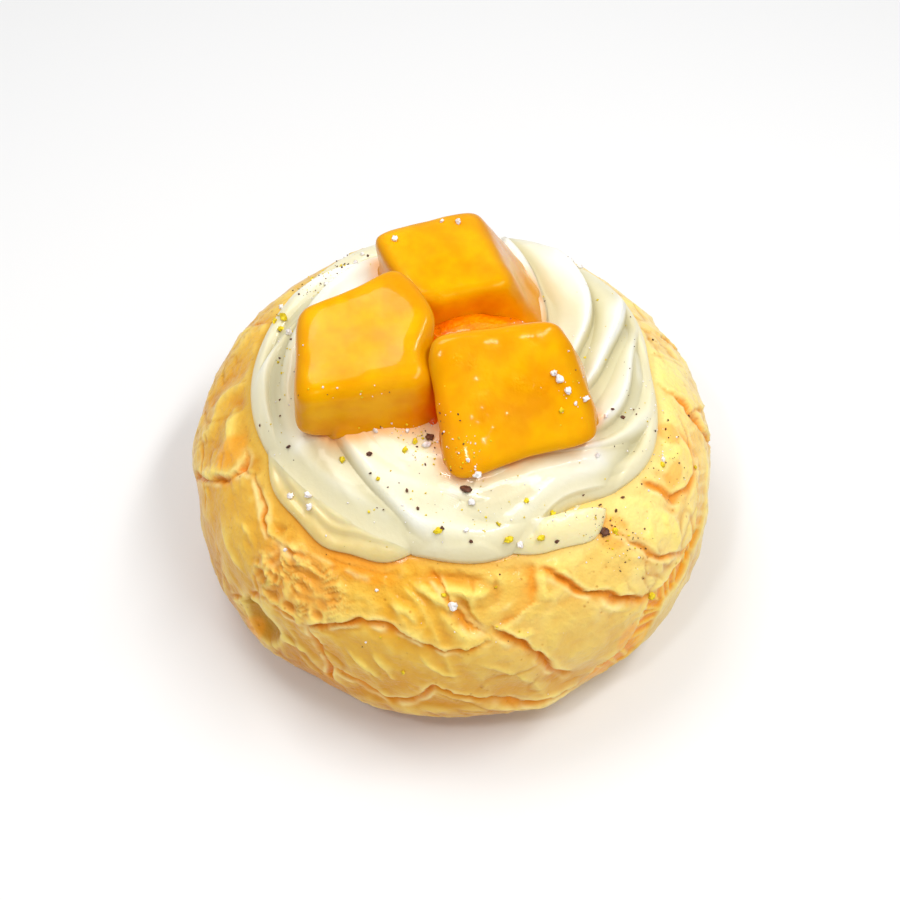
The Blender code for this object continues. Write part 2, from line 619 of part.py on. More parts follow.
def mango_point(name, face, across, along):
    """A place on a mango piece's top face (1, 0) or front face (0, -1), and its normal."""
    top, front = face
    step = 0.02
    uv = np.array([(across, along), (across + step, along), (across, along + step)])
    fixed = np.ones(3)
    cube = np.stack([uv[:, 0], uv[:, 1], fixed] if top else [uv[:, 0], front * fixed, uv[:, 1]], axis=-1)
    points = mango_surface(name, cube, 0.0)
    normal = np.cross(points[1] - points[0], points[2] - points[0])
    return points[0], normal / np.linalg.norm(normal)


def scatter_grains(surface, draw, collection):
    """Draws the grains of a piece's fields, each clear of the others and of the mango pieces."""
    cube = np.random.RandomState(GRAIN_SEED).uniform(-1.0, 1.0, (1500, 3))
    cube /= np.abs(cube).max(axis=-1, keepdims=True)
    mango = np.concatenate([mango_surface(name, cube, 0.0) for name in MANGO])
    placed = []
    for count, first, last, inner, outer in GRAIN_FIELDS[surface]:
        wanted = len(placed) + count
        while len(placed) < wanted:
            azimuth, share = draw.uniform(first, last), draw.uniform(inner, outer)
            place, normal, depth = field_point(azimuth, share, surface)
            near = [np.linalg.norm(place - other) for other in placed]
            clear = np.linalg.norm(mango - place, axis=-1).min()
            if min(near, default=99.0) < GRAIN_SPACING or clear < 2.5 or depth < GRAIN_BED:
                continue
            placed.append(place)
            make_grain(place, normal, draw.uniform(*GRAIN_RADIUS), draw, collection)


def scatter_on_mango(name, draw, collection):
    """Draws the grains that lie on a mango piece's face."""
    count, face, across, along = MANGO_FIELDS[name]
    placed = []
    while len(placed) < count:
        place, normal = mango_point(name, face, draw.uniform(*across), draw.uniform(*along))
        if min([np.linalg.norm(place - other) for other in placed], default=99.0) < 2.2:
            continue
        placed.append(place)
        make_grain(place, normal, draw.uniform(*GRAIN_RADIUS) * 0.9, draw, collection)


def main():
    for thing in list(bpy.data.objects):
        bpy.data.objects.remove(thing, do_unlink=True)
    collection = bpy.data.collections.new(COLLECTION)
    bpy.context.scene.collection.children.link(collection)
    layers = [make_bun(collection), make_custard(collection), make_cream(collection)]
    sockets = cutter_collection("sockets")
    for name in MANGO:
        make_mango(name, sockets, clearance=SOCKET_GAP)
    carve(layers[2], sockets, "DIFFERENCE")
    pieces = layers + [make_mango(name, collection) for name in MANGO]
    draw = np.random.RandomState(GRAIN_SEED)
    for piece in pieces:
        grains = cutter_collection("grains")
        if piece in layers:
            scatter_grains(piece.name, draw, grains)
        else:
            scatter_on_mango(piece.name, draw, grains)
        carve(piece, grains, "UNION")
        drop_scraps(piece)
        finish_look(piece)


main()
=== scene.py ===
import math

import bmesh
import bpy
import numpy as np
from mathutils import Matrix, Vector
from mathutils.bvhtree import BVHTree


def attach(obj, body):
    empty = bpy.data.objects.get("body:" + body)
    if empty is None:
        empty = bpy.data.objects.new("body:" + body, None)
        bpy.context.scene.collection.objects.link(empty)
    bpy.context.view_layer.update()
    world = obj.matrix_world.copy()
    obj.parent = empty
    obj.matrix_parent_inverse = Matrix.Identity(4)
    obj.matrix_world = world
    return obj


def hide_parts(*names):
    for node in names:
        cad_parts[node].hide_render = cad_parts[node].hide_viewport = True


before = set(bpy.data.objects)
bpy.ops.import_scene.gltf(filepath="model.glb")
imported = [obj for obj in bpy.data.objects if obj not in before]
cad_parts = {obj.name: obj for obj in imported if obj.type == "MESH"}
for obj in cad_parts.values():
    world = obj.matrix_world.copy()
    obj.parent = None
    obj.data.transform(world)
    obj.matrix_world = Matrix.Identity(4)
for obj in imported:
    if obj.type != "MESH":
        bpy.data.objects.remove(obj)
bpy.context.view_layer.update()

# Lengths are in millimetres and azimuths in degrees, counter-clockwise from +X seen from above.
# The front of the bun faces -Y, azimuth 270. An arc is the distance along the bun's surface from
# the crown's centre.
mm = 0.001


def easeStep(value):
    # 0 below 0, 1 above 1, and a smooth cubic step between them
    value = np.clip(value, 0.0, 1.0)
    return value * value * (3.0 - 2.0 * value)


def turnBetween(azimuth, centre):
    # the signed turn from centre to azimuth, between -180 and 180
    return (azimuth - centre + 180.0) % 360.0 - 180.0


def bell(distance, reach, power=2):
    # exp(-(distance / reach)^power)
    return np.exp(-(distance / reach) ** power)


def swellsRound(azimuth, swells):
    # the sum of bells exp(-(turn / width)^2), each with its azimuth, width and size
    return sum(size * bell(turnBetween(azimuth, centre), width) for centre, width, size in swells)


def softNoise(points, wavelength, seed):
    # random values from -1 to 1 on a cubic lattice, blended between its corners with an eased weight
    side = 32
    table = np.random.RandomState(seed).uniform(-1.0, 1.0, (side, side, side))
    scaled = points / wavelength
    cell = np.floor(scaled).astype(int)
    near = easeStep(scaled - cell)
    total = np.zeros(points.shape[:-1])
    for corner in np.ndindex(2, 2, 2):
        weight = np.prod(np.where(corner, near, 1.0 - near), axis=-1)
        index = (cell + corner) % side
        total += weight * table[index[..., 0], index[..., 1], index[..., 2]]
    return total


def noiseSum(points, layers):
    # soft noises added up, each with its wavelength, height and seed
    return sum(height * softNoise(points, wavelength, seed) for wavelength, height, seed in layers)


def levelNoise(points, level, spread, wavelength, seed):
    # a soft noise with a spread about a level
    return level + spread * softNoise(points, wavelength, seed)


def ridgeNoise(points, wavelength, seed, sharpness=2.0):
    # 1 - sharpness |noise|: ridges along the lines where the noise passes through zero
    return 1.0 - sharpness * np.abs(softNoise(points, wavelength, seed))


def wandered(points, layers, seedStep):
    # points moved along each axis by noises of its own, whose seeds are a step apart from axis to axis
    moves = [noiseSum(points, [(wave, size, seed + seedStep * axis) for wave, size, seed in layers])
             for axis in range(3)]
    return points + np.stack(moves, axis=-1)


def drawnOut(points, heading, stretch):
    # points squeezed along one heading, so that a noise read there is drawn out along it
    heading = np.array(heading) / np.linalg.norm(heading)
    along = points @ heading
    return points - (1.0 - 1.0 / stretch) * along[..., None] * heading


def atHeight(azimuth, radius, height):
    # cylinder coordinates to x, y and z
    turn = np.radians(azimuth)
    return np.stack([radius * np.cos(turn), radius * np.sin(turn), height], axis=-1)


def makePiece(name, vertices, quads, triangles=()):
    # puts whole arrays of corners into one mesh, shaded smooth
    quads = np.asarray(quads, dtype=np.int32).reshape(-1, 4)
    triangles = np.asarray(triangles, dtype=np.int32).reshape(-1, 3)
    corners = np.concatenate([quads.ravel(), triangles.ravel()])
    sizes = np.append(np.full(len(quads), 4), np.full(len(triangles), 3)).astype(np.int32)
    starts = np.append(0, np.cumsum(sizes)[:-1]).astype(np.int32)
    mesh = bpy.data.meshes.new(name)
    mesh.vertices.add(len(vertices))
    mesh.vertices.foreach_set("co", (np.asarray(vertices) * mm).astype(np.float32).ravel())
    mesh.loops.add(len(corners))
    mesh.loops.foreach_set("vertex_index", corners)
    mesh.polygons.add(len(sizes))
    mesh.polygons.foreach_set("loop_start", starts)
    mesh.polygons.foreach_set("loop_total", sizes)
    mesh.update(calc_edges=True)
    mesh.shade_smooth()
    piece = bpy.data.objects.new(name, mesh)
    bpy.context.scene.collection.objects.link(piece)
    return piece


def closedGrid(rings):
    # rings of points from pole to pole, joined by quads, with a fan of triangles at each pole
    rings = np.asarray(rings)
    count, columns = rings.shape[0] - 2, rings.shape[1]
    vertices = np.concatenate([rings[0, :1], rings[1:-1].reshape(-1, 3), rings[-1, :1]])
    step = np.arange(columns)
    after = (step + 1) % columns
    top = 1 + np.arange(count - 1)[:, None] * columns
    quads = np.stack([top + step, top + columns + step, top + columns + after, top + after], axis=-1)
    last, low = len(vertices) - 1, 1 + (count - 1) * columns
    crown = np.stack([np.zeros(columns, int), 1 + step, 1 + after], axis=-1)
    foot = np.stack([low + step, np.full(columns, last), low + after], axis=-1)
    return vertices, quads.reshape(-1, 4), np.concatenate([crown, foot])


def ringMask(values):
    # the values of a closed grid's rings, in the order of its vertices
    return np.concatenate([values[0, :1], values[1:-1].ravel(), values[-1, :1]])


def setMask(piece, name, values):
    # a number for each vertex, which a material reads by its name
    attribute = piece.data.attributes.new(name, "FLOAT", "POINT")
    attribute.data.foreach_set("value", np.asarray(values, dtype=np.float32).ravel())


def setRingMask(piece, name, values, below, share=1.0):
    # a mask for the rings of a closed grid; the rings below them take the last ring's values times a share
    lower = np.repeat(values[-1:] * share, len(below), axis=0)
    setMask(piece, name, ringMask(np.concatenate([values, lower])))


def nearestGap(points, others, parts):
    # the distance from each point to the nearest of the others, worked out in parts to save memory
    return np.concatenate([np.linalg.norm(part[:, None] - others[None], axis=-1).min(axis=1)
                           for part in np.array_split(points, parts)])


bunValues = {
    "radius": 50.0, "widestHeight": 16.4, "crownRise": 33.0, "crownPower": 3.17, "footDrop": 28.1,
    "footFlatArc": 85.0, "footEase": 9.0, "crownSteps": 3000, "footSteps": 400,
    "columns": 660, "frontCrowding": 0.43,
    "ringStops": ((0.0, 5), (33.0, 6), (38.0, 114), (76.0, 22)),      # arc and the rings from there on
    "footShares": (0.66, 0.33, 0.0),                                  # rings that close the flat foot
}


def bunMeridian():
    # a superellipse above the widest ring and an ellipse below it, with the arc length along them
    values = bunValues
    crown = np.linspace(math.pi / 2.0, 0.0, values["crownSteps"])
    foot = np.linspace(0.0, math.asin(values["widestHeight"] / values["footDrop"]), values["footSteps"])[1:]
    power = 2.0 / values["crownPower"]
    radius = np.append(values["radius"] * np.abs(np.cos(crown)) ** power, values["radius"] * np.cos(foot))
    height = np.append(values["widestHeight"] + values["crownRise"] * np.sin(crown) ** power,
                       values["widestHeight"] - values["footDrop"] * np.sin(foot))
    radius[0] = 0.0
    arc = np.append(0.0, np.cumsum(np.hypot(np.diff(radius), np.diff(height))))
    return arc, radius, height


bunArc, bunRadius, bunHeight = bunMeridian()
crownArc, crownRadius, crownHeight = (line[:bunValues["crownSteps"]]
                                      for line in (bunArc, bunRadius, bunHeight))


def onBun(azimuth, arc):
    # points of the plain bun and its outward normals, from the meridian's slope
    step = 0.25
    turn = np.radians(azimuth)
    radius, height = np.interp(arc, bunArc, bunRadius), np.interp(arc, bunArc, bunHeight)
    slopeOut = np.interp(arc + step, bunArc, bunRadius) - np.interp(arc - step, bunArc, bunRadius)
    slopeUp = np.interp(arc + step, bunArc, bunHeight) - np.interp(arc - step, bunArc, bunHeight)
    length = np.hypot(slopeOut, slopeUp)
    out, up = -slopeUp / length, slopeOut / length
    return atHeight(azimuth, radius, height), np.stack([out * np.cos(turn), out * np.sin(turn), up], axis=-1)


def bunTop(radius):
    # height of the plain crown at a radius
    return np.interp(radius, crownRadius, crownHeight)


def lineOnBun(line):
    # the points of a line that is given as azimuths and arcs
    azimuths, arcs = np.array(line, dtype=float).T
    return onBun(azimuths, arcs)[0]


crustValues = {
    "swells": ((19.0, 0.65, 271), (8.0, 0.42, 272), (4.2, 0.2, 273)),    # wavelength, height and seed
    "crackWander": ((6.0, 1.0, 31), (2.4, 0.42, 32), (1.0, 0.17, 33)),
    "crackDepth": 0.52, "crackWidth": 0.66, "crackStep": 0.6,           # shares of each crack's own values
    "crackTaper": 0.12, "taperShares": (0.35, 0.65), "endFade": 0.8, "wallWidth": 0.4, "curlReach": 4.0,
    "dipShare": 0.45, "dipReach": 3.5, "crestHeight": 0.22, "crestDepth": 1.6, "rimShare": 0.6,
    "warmReach": 0.45, "warmDepth": 1.8, "brownReach": 3.2,
    # noises as level, spread, wavelength and seed
    "ragged": (0.5, 0.9, 2.2, 61), "shade": (0.55, 0.45, 7.0, 62), "ridgePlaces": (0.9, 1.0, 4.0, 72),
    "rowPlaces": (0.7, 1.0, 2.6, 25), "foldPlaces": (0.45, 1.0, 16.0, 82),
    "wrinklePlaces": (0.2, 1.3, 12.0, 91),
    "foldWander": ((5.0, 0.8, 131), (1.6, 0.25, 141)), "foldTaper": 0.3, "foldSides": (1.7, 0.75),
    "breadWidth": 7.0, "breadEdge": 1.2, "breadDepth": 0.7, "breadEnds": 0.08, "breadPast": 0.1,
    "ridgeSpacing": 2.5, "ridgeHeight": 0.2, "ridgeWander": ((4.0, 0.8, 71),), "ridgeSquare": (2.5, 0.3),
    "leastBare": 0.3,
    "closing": (0.62, 0.12, 0.75),           # where the crust closes over the bread, how fast and how far
    "backSeed": 11, "backFirst": 2.0, "backLast": 182.0, "backStep": 30.0,
    "backArcs": (40.0, 54.0, 70.0), "backDepth": 2.0, "backSlope": 1.0, "backLip": 0.6,
    # patches of the crust: where their soft edge ends, in half sizes, and its width, and then for each
    # its azimuth, arc, half sizes and in some cases a height
    "softEdge": (1.25, 0.5), "hollowEnd": 1.2,
    "footBand": (270.0, 76.0, 24.0, 5.0, 0.7),
    "hollow": (225.0, 65.5, 5.0, 5.2, -2.2), "hollowUpper": (0.75, 0.25), "hollowLower": (1.3, 0.6),
    "blushes": ((312.5, 42.0, 4.5, 3.0), (337.0, 44.5, 4.0, 1.6), (347.0, 41.0, 3.0, 2.4),
                (247.0, 42.5, 9.0, 1.8), (221.5, 72.5, 2.5, 3.0), (196.0, 44.0, 4.0, 4.0),
                (309.0, 66.0, 3.0, 4.0)),
    "blushShare": 0.55,
    "crumbledPatch": (234.0, 50.5, 12.0, 7.5),
    "calmPlates": ((213.0, 53.0, 11.0, 10.0), (306.0, 62.0, 9.0, 7.0), (287.0, 45.0, 6.0, 5.0),
                   (306.0, 47.0, 8.0, 5.0), (295.0, 55.0, 6.0, 7.0)),
    "lumpyPatch": (323.0, 50.0, 5.5, 5.0, 0.9),
    "crumple": (268.0, 46.5, 11.0, 7.0, 0.8),
    "glaze": ((243.0, 22.0, 0.8), (283.0, 12.0, 0.3)), "glazeReach": 1.5, "glazeLeast": 0.15,
    "rowSpacing": 1.5, "rowSlant": 0.35, "rowWaves": ((3.4, 2.2, 22), (1.5, 0.8, 23)), "rowHeight": 0.55,
    "crumbHeight": 0.48, "crumbGrain": ((1.3, 0.2, 26),), "crumbFlat": (1.0, 1.0, 1.6),
    "plateFolds": 0.48, "plateWrinkles": 0.26, "plateFlakes": 0.13, "creaseDepth": 0.2, "calmShare": 0.7,
    # ridges as wavelength, seed and sharpness, and the heading and stretch that some are drawn out by
    "crumbRidges": (2.6, 21), "lumpRidges": (3.2, 24), "crinkleRidges": (1.6, 27),
    "foldRidges": (7.5, 81, 2.4), "sharpRidges": (4.6, 84, 2.6), "wrinkleRidges": (2.7, 90, 2.2),
    "foldGrain": ((0.72, -0.2, -0.65), 2.6), "crinkleGrain": ((0.5, -0.3, -0.8), 2.6),
    "flakeGrain": ((0.6, 0.1, -0.7), 1.8), "wrinkleGrain": ((0.5, -0.1, -0.85), 3.4),
    "flakeNoise": ((9.0, 2.6, 85),), "lumpShares": (0.4, 0.35, 0.2),
    # creases: heading, wavelength and seed, and then their stretch, width, places and the places' edge
    "creaseLines": (((0.8, 0.1, -0.6), 2.6, 83), ((0.7, -0.3, 0.5), 3.4, 86)),
    "creaseForm": (4.5, 0.09, 11.0, 0.35),
    "grain": (0.05, 0.12, 1.1, 88), "softGrain": ((2.2, 0.12, 89),), "crumbledRough": 0.6,
    "bareFrom": 0.3, "bareRun": 2.5, "standing": ((1.6, 4), (0.7, 12)),
}

# Each crack: depth, width of its low side, the high plate's rise and side, and its points as azimuth
# and arc. Side 1 is on the left of the way that the points run, seen from outside.
crustCracks = {
    "leftNotch": (2.6, 0.9, 0.7, 1, [(188, 60), (193, 54.5), (198, 49.5), (202, 46.3), (203, 43),
                                     (199.5, 41)]),
    "leftCollar": (1.5, 0.6, 0.5, 1, [(202, 43.5), (207, 41.5), (214, 42.6), (217.5, 44), (221, 45.3),
                                     (228, 45), (233, 45.5)]),
    "leftRim": (0.9, 0.7, 0.2, 1, [(175, 50), (183, 51), (190, 53), (199, 56), (206, 59), (210, 63),
                                   (216, 66)]),
    "frontLeftLong": (1.9, 0.9, 0.8, 1, [(231, 57.4), (237, 57.3), (243, 54), (250, 50.5), (257, 50.7),
                                         (262, 51.8), (267.5, 54.3), (273, 53.7), (277.5, 52.5)]),
    "frontLeftDrop": (2.0, 1.0, 0.5, 1, [(237, 56.5), (239.5, 59), (241, 63), (243, 67), (243, 73)]),
    "footLine": (1.5, 1.1, 0.5, 1, [(243, 66.5), (248, 68.5), (252, 69.5), (256, 70.4), (261, 69.5),
                                    (266, 64.5), (273, 68), (281, 71), (289, 73.5), (300, 74.5)]),
    "frontDiagonal": (2.3, 1.3, 0.8, 1, [(279, 50), (283.5, 54.4), (287.7, 59), (290.4, 64.4), (296, 68.8)]),
    "frontChannel": (0.9, 1.9, 0.25, 1, [(289.5, 39), (288.5, 43), (288, 47), (283.5, 49.3), (280, 50.2)]),
    "rightLong": (2.1, 1.2, 0.8, 1, [(291, 41), (294.5, 43.7), (297.5, 46), (301, 48.2), (304.6, 50.3),
                                     (306.4, 53.2), (312.6, 56.7), (316, 58.5)]),
    "crumpleEnd": (1.2, 1.0, 0.4, 1, [(263, 39), (266, 42), (270.5, 46), (274, 49.5), (278.5, 51.5)]),
    "rightShort": (1.5, 1.3, 0.3, 1, [(329.5, 37.5), (330, 40.3), (331, 42.7), (332.5, 46.3), (337, 48.8),
                                      (341.5, 49.2), (346.5, 48), (349, 43)]),
    "patchEdge": (0.5, 0.5, 0.15, -1, [(228, 45), (227, 47.3), (225, 50.5), (223.6, 55), (226, 58.2),
                                       (231, 57.4)]),
    "plateEdge": (1.2, 0.7, 0.5, 1, [(226, 58.2), (222.4, 60.6), (217.5, 66), (214, 70)]),
    "custardEdge": (1.0, 0.9, 0.2, 1, [(235, 43.5), (238, 43.2), (243, 42.9), (249.5, 42.2), (256, 40.5)]),
    "lumpEdge": (1.3, 0.9, 0.4, 1, [(312.5, 41.5), (316.5, 46.5), (320.5, 51.5), (326, 56), (331, 57),
                                    (333, 53)]),
    "rightRim": (1.6, 0.8, 0.6, 1, [(297, 75), (302, 72), (309.5, 68.5), (312.5, 62), (316.5, 58.3),
                                    (322.5, 58), (328, 58.6), (333.7, 57), (339, 53.4), (343.5, 49.6),
                                    (349, 46), (353, 42.5)]),
}

# Thin folds that stand up from the plates: height, half width, and points as azimuth and arc.
crustFolds = {
    "crumpleUpper": (1.0, 0.9, [(258, 41), (261.5, 42.5), (265, 44.3), (268.6, 46.5), (273, 49.5)]),
    "crumpleLower": (0.8, 0.8, [(270.4, 42), (273, 45), (275.6, 48.5), (277.5, 51)]),
    "crumpleSide": (0.7, 0.8, [(255, 46), (259.5, 47.5), (263, 50)]),
    "lowFlank": (0.6, 0.5, [(246, 58), (249, 60.5), (253, 63), (256, 66.5)]),
    "lowFront": (0.5, 0.5, [(262, 56), (265, 58.5), (268, 60.5), (272, 61.5)]),
    "lowRight": (0.5, 0.6, [(274, 57), (278, 60), (283, 63.5), (286, 67)]),
    "lowPlate": (0.6, 0.7, [(252.6, 57.6), (254.4, 59.5), (256.5, 61.6), (259, 65)]),
    "leftPlate": (0.35, 0.5, [(212.6, 48.2), (216.6, 49.2), (220.7, 50.4)]),
    "leftLow": (0.7, 0.7, [(229.5, 68.5), (232, 66.6), (235, 66), (238.5, 65.3)]),
    "rightPlate": (0.5, 0.7, [(282, 52.2), (284.5, 53.3), (287.4, 53.2)]),
    "channelSide": (0.5, 0.8, [(292, 41.5), (291, 45.3), (291.4, 48)]),
    "rightLip": (0.45, 0.5, [(302.5, 51.3), (303.2, 54.2), (307.4, 56.7), (311.5, 58.6)]),
    "leftShoulder": (0.5, 0.9, [(181, 40), (186, 43), (194, 43.5)]),
    "leftSlope": (0.4, 0.8, [(206, 52), (213, 56), (220, 57)]),
    "rightSlope": (0.5, 0.9, [(338, 40), (341, 44), (347, 45)]),
}


def backCracks():
    # the back isn't in the photo: lines down the side, joined by short lines round it, by a seeded draw
    values = crustValues
    draw = np.random.RandomState(values["backSeed"])
    topArc, middleArc, lowArc = values["backArcs"]
    depth, slope, lift = values["backDepth"], values["backSlope"], values["backLip"]
    cracks, knots = [], []
    for azimuth in np.arange(values["backFirst"], values["backLast"], values["backStep"]):
        arcs = np.linspace(topArc, lowArc, 5) + draw.uniform(-2.0, 2.0, 5)
        turns = azimuth + np.cumsum(draw.uniform(-5.0, 6.0, 5))
        line = list(zip(turns, arcs))
        knots.append((line[int(draw.randint(1, 4))], line[4]))
        highSide = int(draw.choice([-1, 0, 1]))
        cracks.append((depth, slope, lift, highSide or 1, line))
    for (left, lowLeft), (right, lowRight) in zip(knots[:-1], knots[1:]):
        middle = (0.5 * (left[0] + right[0]), middleArc + draw.uniform(-5.0, 5.0))
        cracks.append((depth * 0.8, slope, lift, 1, [left, middle, right]))
        low = (0.5 * (lowLeft[0] + lowRight[0]), lowArc + draw.uniform(-2.0, 3.0))
        cracks.append((depth * 0.7, slope, 0.3, 1, [lowLeft, low, lowRight]))
    return cracks


def distanceToLine(points, normals, line):
    # distance to the nearest segment, the side of it (the sign of heading x offset . normal), how far
    # along the line that is, from 0 to 1, and how far past either end of the line the point lies
    best = np.full(points.shape[:-1], 1e9)
    side, along, past = (np.zeros_like(best) for _ in range(3))
    lengths = np.linalg.norm(np.diff(line, axis=0), axis=1)
    before = np.append(0.0, np.cumsum(lengths))
    for index, (start, end, length) in enumerate(zip(line[:-1], line[1:], lengths)):
        heading = (end - start) / length
        offset = points - start
        free = offset @ heading
        reach = np.clip(free, 0.0, length)
        gap = np.linalg.norm(offset - reach[..., None] * heading, axis=-1)
        nearer = gap < best
        turn = np.einsum("...i,...i", np.cross(heading, offset), normals)
        atStart = np.maximum(-free, 0.0) * (index == 0)
        atEnd = np.maximum(free - length, 0.0) * (index == len(lengths) - 1)
        best = np.where(nearer, gap, best)
        side = np.where(nearer, np.sign(turn), side)
        along = np.where(nearer, (before[index] + reach) / before[-1], along)
        past = np.where(nearer, atStart + atEnd, past)
    return best, side, along, past


def crackRelief(points, normals):
    # across is the distance to a crack, positive on its high plate. The wall under that plate falls as
    # depth exp(-(across / wallWidth)^2), the low side climbs back as depth exp(-(-across / slope)^1.3)
    # and ends in a crest, and the high plate curls up by lift (1 - wall) exp(-across / curlReach). The
    # deepest groove and the highest rise hold. For the finish, the groove is painted shade, the crest a
    # painted highlight, and the orange band is the plate's own browned edge on the high side and painted
    # shade on the low side.
    values = crustValues
    moved = wandered(points, values["crackWander"], 7)
    ragged, shade = easeStep(levelNoise(points, *values["ragged"])), levelNoise(points, *values["shade"])
    leastTaper, moreTaper = values["taperShares"]
    groove, rise, highlightedCrest, orangeAndShade, browned = (np.zeros(points.shape[:-1]) for _ in range(5))
    for depth, slope, lift, highSide, line in list(crustCracks.values()) + backCracks():
        slope, lift = slope * values["crackWidth"], lift * values["crackStep"]
        distance, side, along, past = distanceToLine(moved, normals, lineOnBun(line))
        ends = easeStep(np.minimum(along, 1.0 - along) / values["crackTaper"])
        taper = (leastTaper + moreTaper * ends) * bell(past, values["endFade"])
        across = distance * np.where(side == highSide, 1.0, -1.0)
        high, low = np.maximum(across, 0.0), np.maximum(-across, 0.0)
        wall, climb = bell(high, values["wallWidth"]), bell(low, slope, 1.3)
        valley = np.where(across > 0.0, wall, climb)
        groove = np.maximum(groove, depth * values["crackDepth"] * taper * valley)
        dip = -values["dipShare"] * np.exp(-low / values["dipReach"])
        curl = np.where(across > 0.0, (1.0 - wall) * np.exp(-high / values["curlReach"]), dip)
        rise = np.where(np.abs(lift * taper * curl) > np.abs(rise), lift * taper * curl, rise)
        edge = bell(low - 2.0 * slope, values["wallWidth"]) * (across < 0.0)
        rim = bell(high - 2.0 * values["wallWidth"], values["wallWidth"]) * (across > 0.0)
        strength = min(depth / values["crestDepth"], 1.0)
        highlightedCrest = np.maximum(highlightedCrest, taper * ragged * np.maximum(edge, values["rimShare"] * rim) * strength)
        orange = np.where(across > 0.0, bell(high, values["warmReach"]), bell(low, 1.5 * slope, 1.5))
        orangeAndShade = np.maximum(orangeAndShade, taper * min(depth / values["warmDepth"], 1.0) * shade * orange)
        browned = np.maximum(browned, taper * np.exp(-distance / values["brownReach"]) * strength)
    return rise - groove + values["crestHeight"] * highlightedCrest, groove, highlightedCrest, orangeAndShade, browned


def foldRelief(points, normals):
    # a thin fold stands up as height exp(-(distance / width)^2), wider on one side than on the other
    values = crustValues
    moved = wandered(points, values["foldWander"], 1)
    total = np.zeros(points.shape[:-1])
    for height, halfWidth, line in crustFolds.values():
        distance, side, along, past = distanceToLine(moved, normals, lineOnBun(line))
        width = halfWidth * np.where(side > 0.0, *values["foldSides"])
        ends = easeStep(np.minimum(along, 1.0 - along) / values["foldTaper"])
        taper = ends * bell(past, values["endFade"])
        total = np.maximum(total, height * taper * bell(distance, width))
    return total


def breadStrip(points, normals):
    # a strip of bare bread beside the right rim's crack, a squared-off sine of ridges across it, and how
    # open it lies: further up, the crust nearly closes over it
    values = crustValues
    line = lineOnBun(crustCracks["rightRim"][4])
    distance, side, along, past = distanceToLine(points, normals, line)
    length = np.linalg.norm(np.diff(line, axis=0), axis=1).sum()
    strip = easeStep((values["breadWidth"] - distance) / values["breadEdge"]) * (side < 0)
    strip = strip * easeStep(np.minimum(along, 1.0 - along) / values["breadEnds"])
    strip = strip * (past < values["breadPast"])
    wander = noiseSum(points, values["ridgeWander"])
    wave = np.sin(2.0 * math.pi * along * length / values["ridgeSpacing"] + wander)
    steepness, shift = values["ridgeSquare"]
    ridges = np.tanh(steepness * (wave - shift)) * easeStep(levelNoise(points, *values["ridgePlaces"]))
    start, run, most = values["closing"]
    bared = 1.0 - most * easeStep((along - start) / run)
    least = values["leastBare"]
    return strip * (least + (1.0 - least) * bared), ridges, bared


def patchWeight(azimuth, arc, feature):
    # 1 inside an ellipse of azimuth and arc, 0 outside, with a soft edge
    centre, middle, halfTurn, halfArc = feature[:4]
    away = np.hypot(turnBetween(azimuth, centre) / halfTurn, (arc - middle) / halfArc)
    end, run = crustValues["softEdge"]
    return easeStep((end - away) / run)


def largestPatch(azimuth, arc, features):
    return np.maximum.reduce([patchWeight(azimuth, arc, feature) for feature in features])


def hollowShape(azimuth, arc):
    # 1 inside the hollow's ellipse, with a sharp upper edge and a soft lower one
    centre, middle, halfTurn, halfArc = crustValues["hollow"][:4]
    stretch, edge = (np.where(arc < middle, upper, lower) for upper, lower
                     in zip(crustValues["hollowUpper"], crustValues["hollowLower"]))
    away = np.hypot(turnBetween(azimuth, centre) / halfTurn, (arc - middle) / (halfArc * stretch))
    return easeStep((crustValues["hollowEnd"] - away) / edge)


def skinCreases(points, heading, wavelength, seed):
    # thin creases where a drawn-out noise passes through zero, kept only in some places
    stretch, width, places, edge = crustValues["creaseForm"]
    lines = softNoise(drawnOut(points, heading, stretch), wavelength, seed)
    return easeStep(softNoise(points, places, seed + 1) / edge) * bell(lines, width)


def flakySteps(value):
    # whole steps joined by short steep slopes, so that a smooth noise becomes overlapping flakes
    part = value - np.floor(value)
    return np.floor(value) + easeStep((part - 0.6) / 0.4)


def blurred(grid, reach):
    # a grid's mean over a square window, taken twice; it wraps round the columns and stops at the ends
    for _ in range(2):
        grid = sum(np.roll(grid, step, axis=1) for step in range(-reach, reach + 1)) / (2 * reach + 1)
        wide = np.pad(grid, ((reach, reach), (0, 0)), mode="edge")
        grid = sum(wide[step:step + len(grid)] for step in range(2 * reach + 1)) / (2 * reach + 1)
    return grid


def standing(grid, layers):
    # how far a place stands above what lies round it, near and wide, as shares and reaches
    return sum(share * (grid - blurred(grid, reach)) for share, reach in layers)


def crumbledRelief(points, azimuth, arc):
    # rows of sloping steps, a sawtooth of the arc made wavy by noises, on lumps from a ridged noise
    values = crustValues
    rows = (arc + values["rowSlant"] * azimuth) / values["rowSpacing"] + noiseSum(points, values["rowWaves"])
    steps = (rows - np.floor(rows)) * easeStep(levelNoise(points, *values["rowPlaces"]))
    crumbs = ridgeNoise(points * values["crumbFlat"], *values["crumbRidges"])
    return (values["crumbHeight"] * crumbs + values["rowHeight"] * steps
            + noiseSum(points, values["crumbGrain"]))


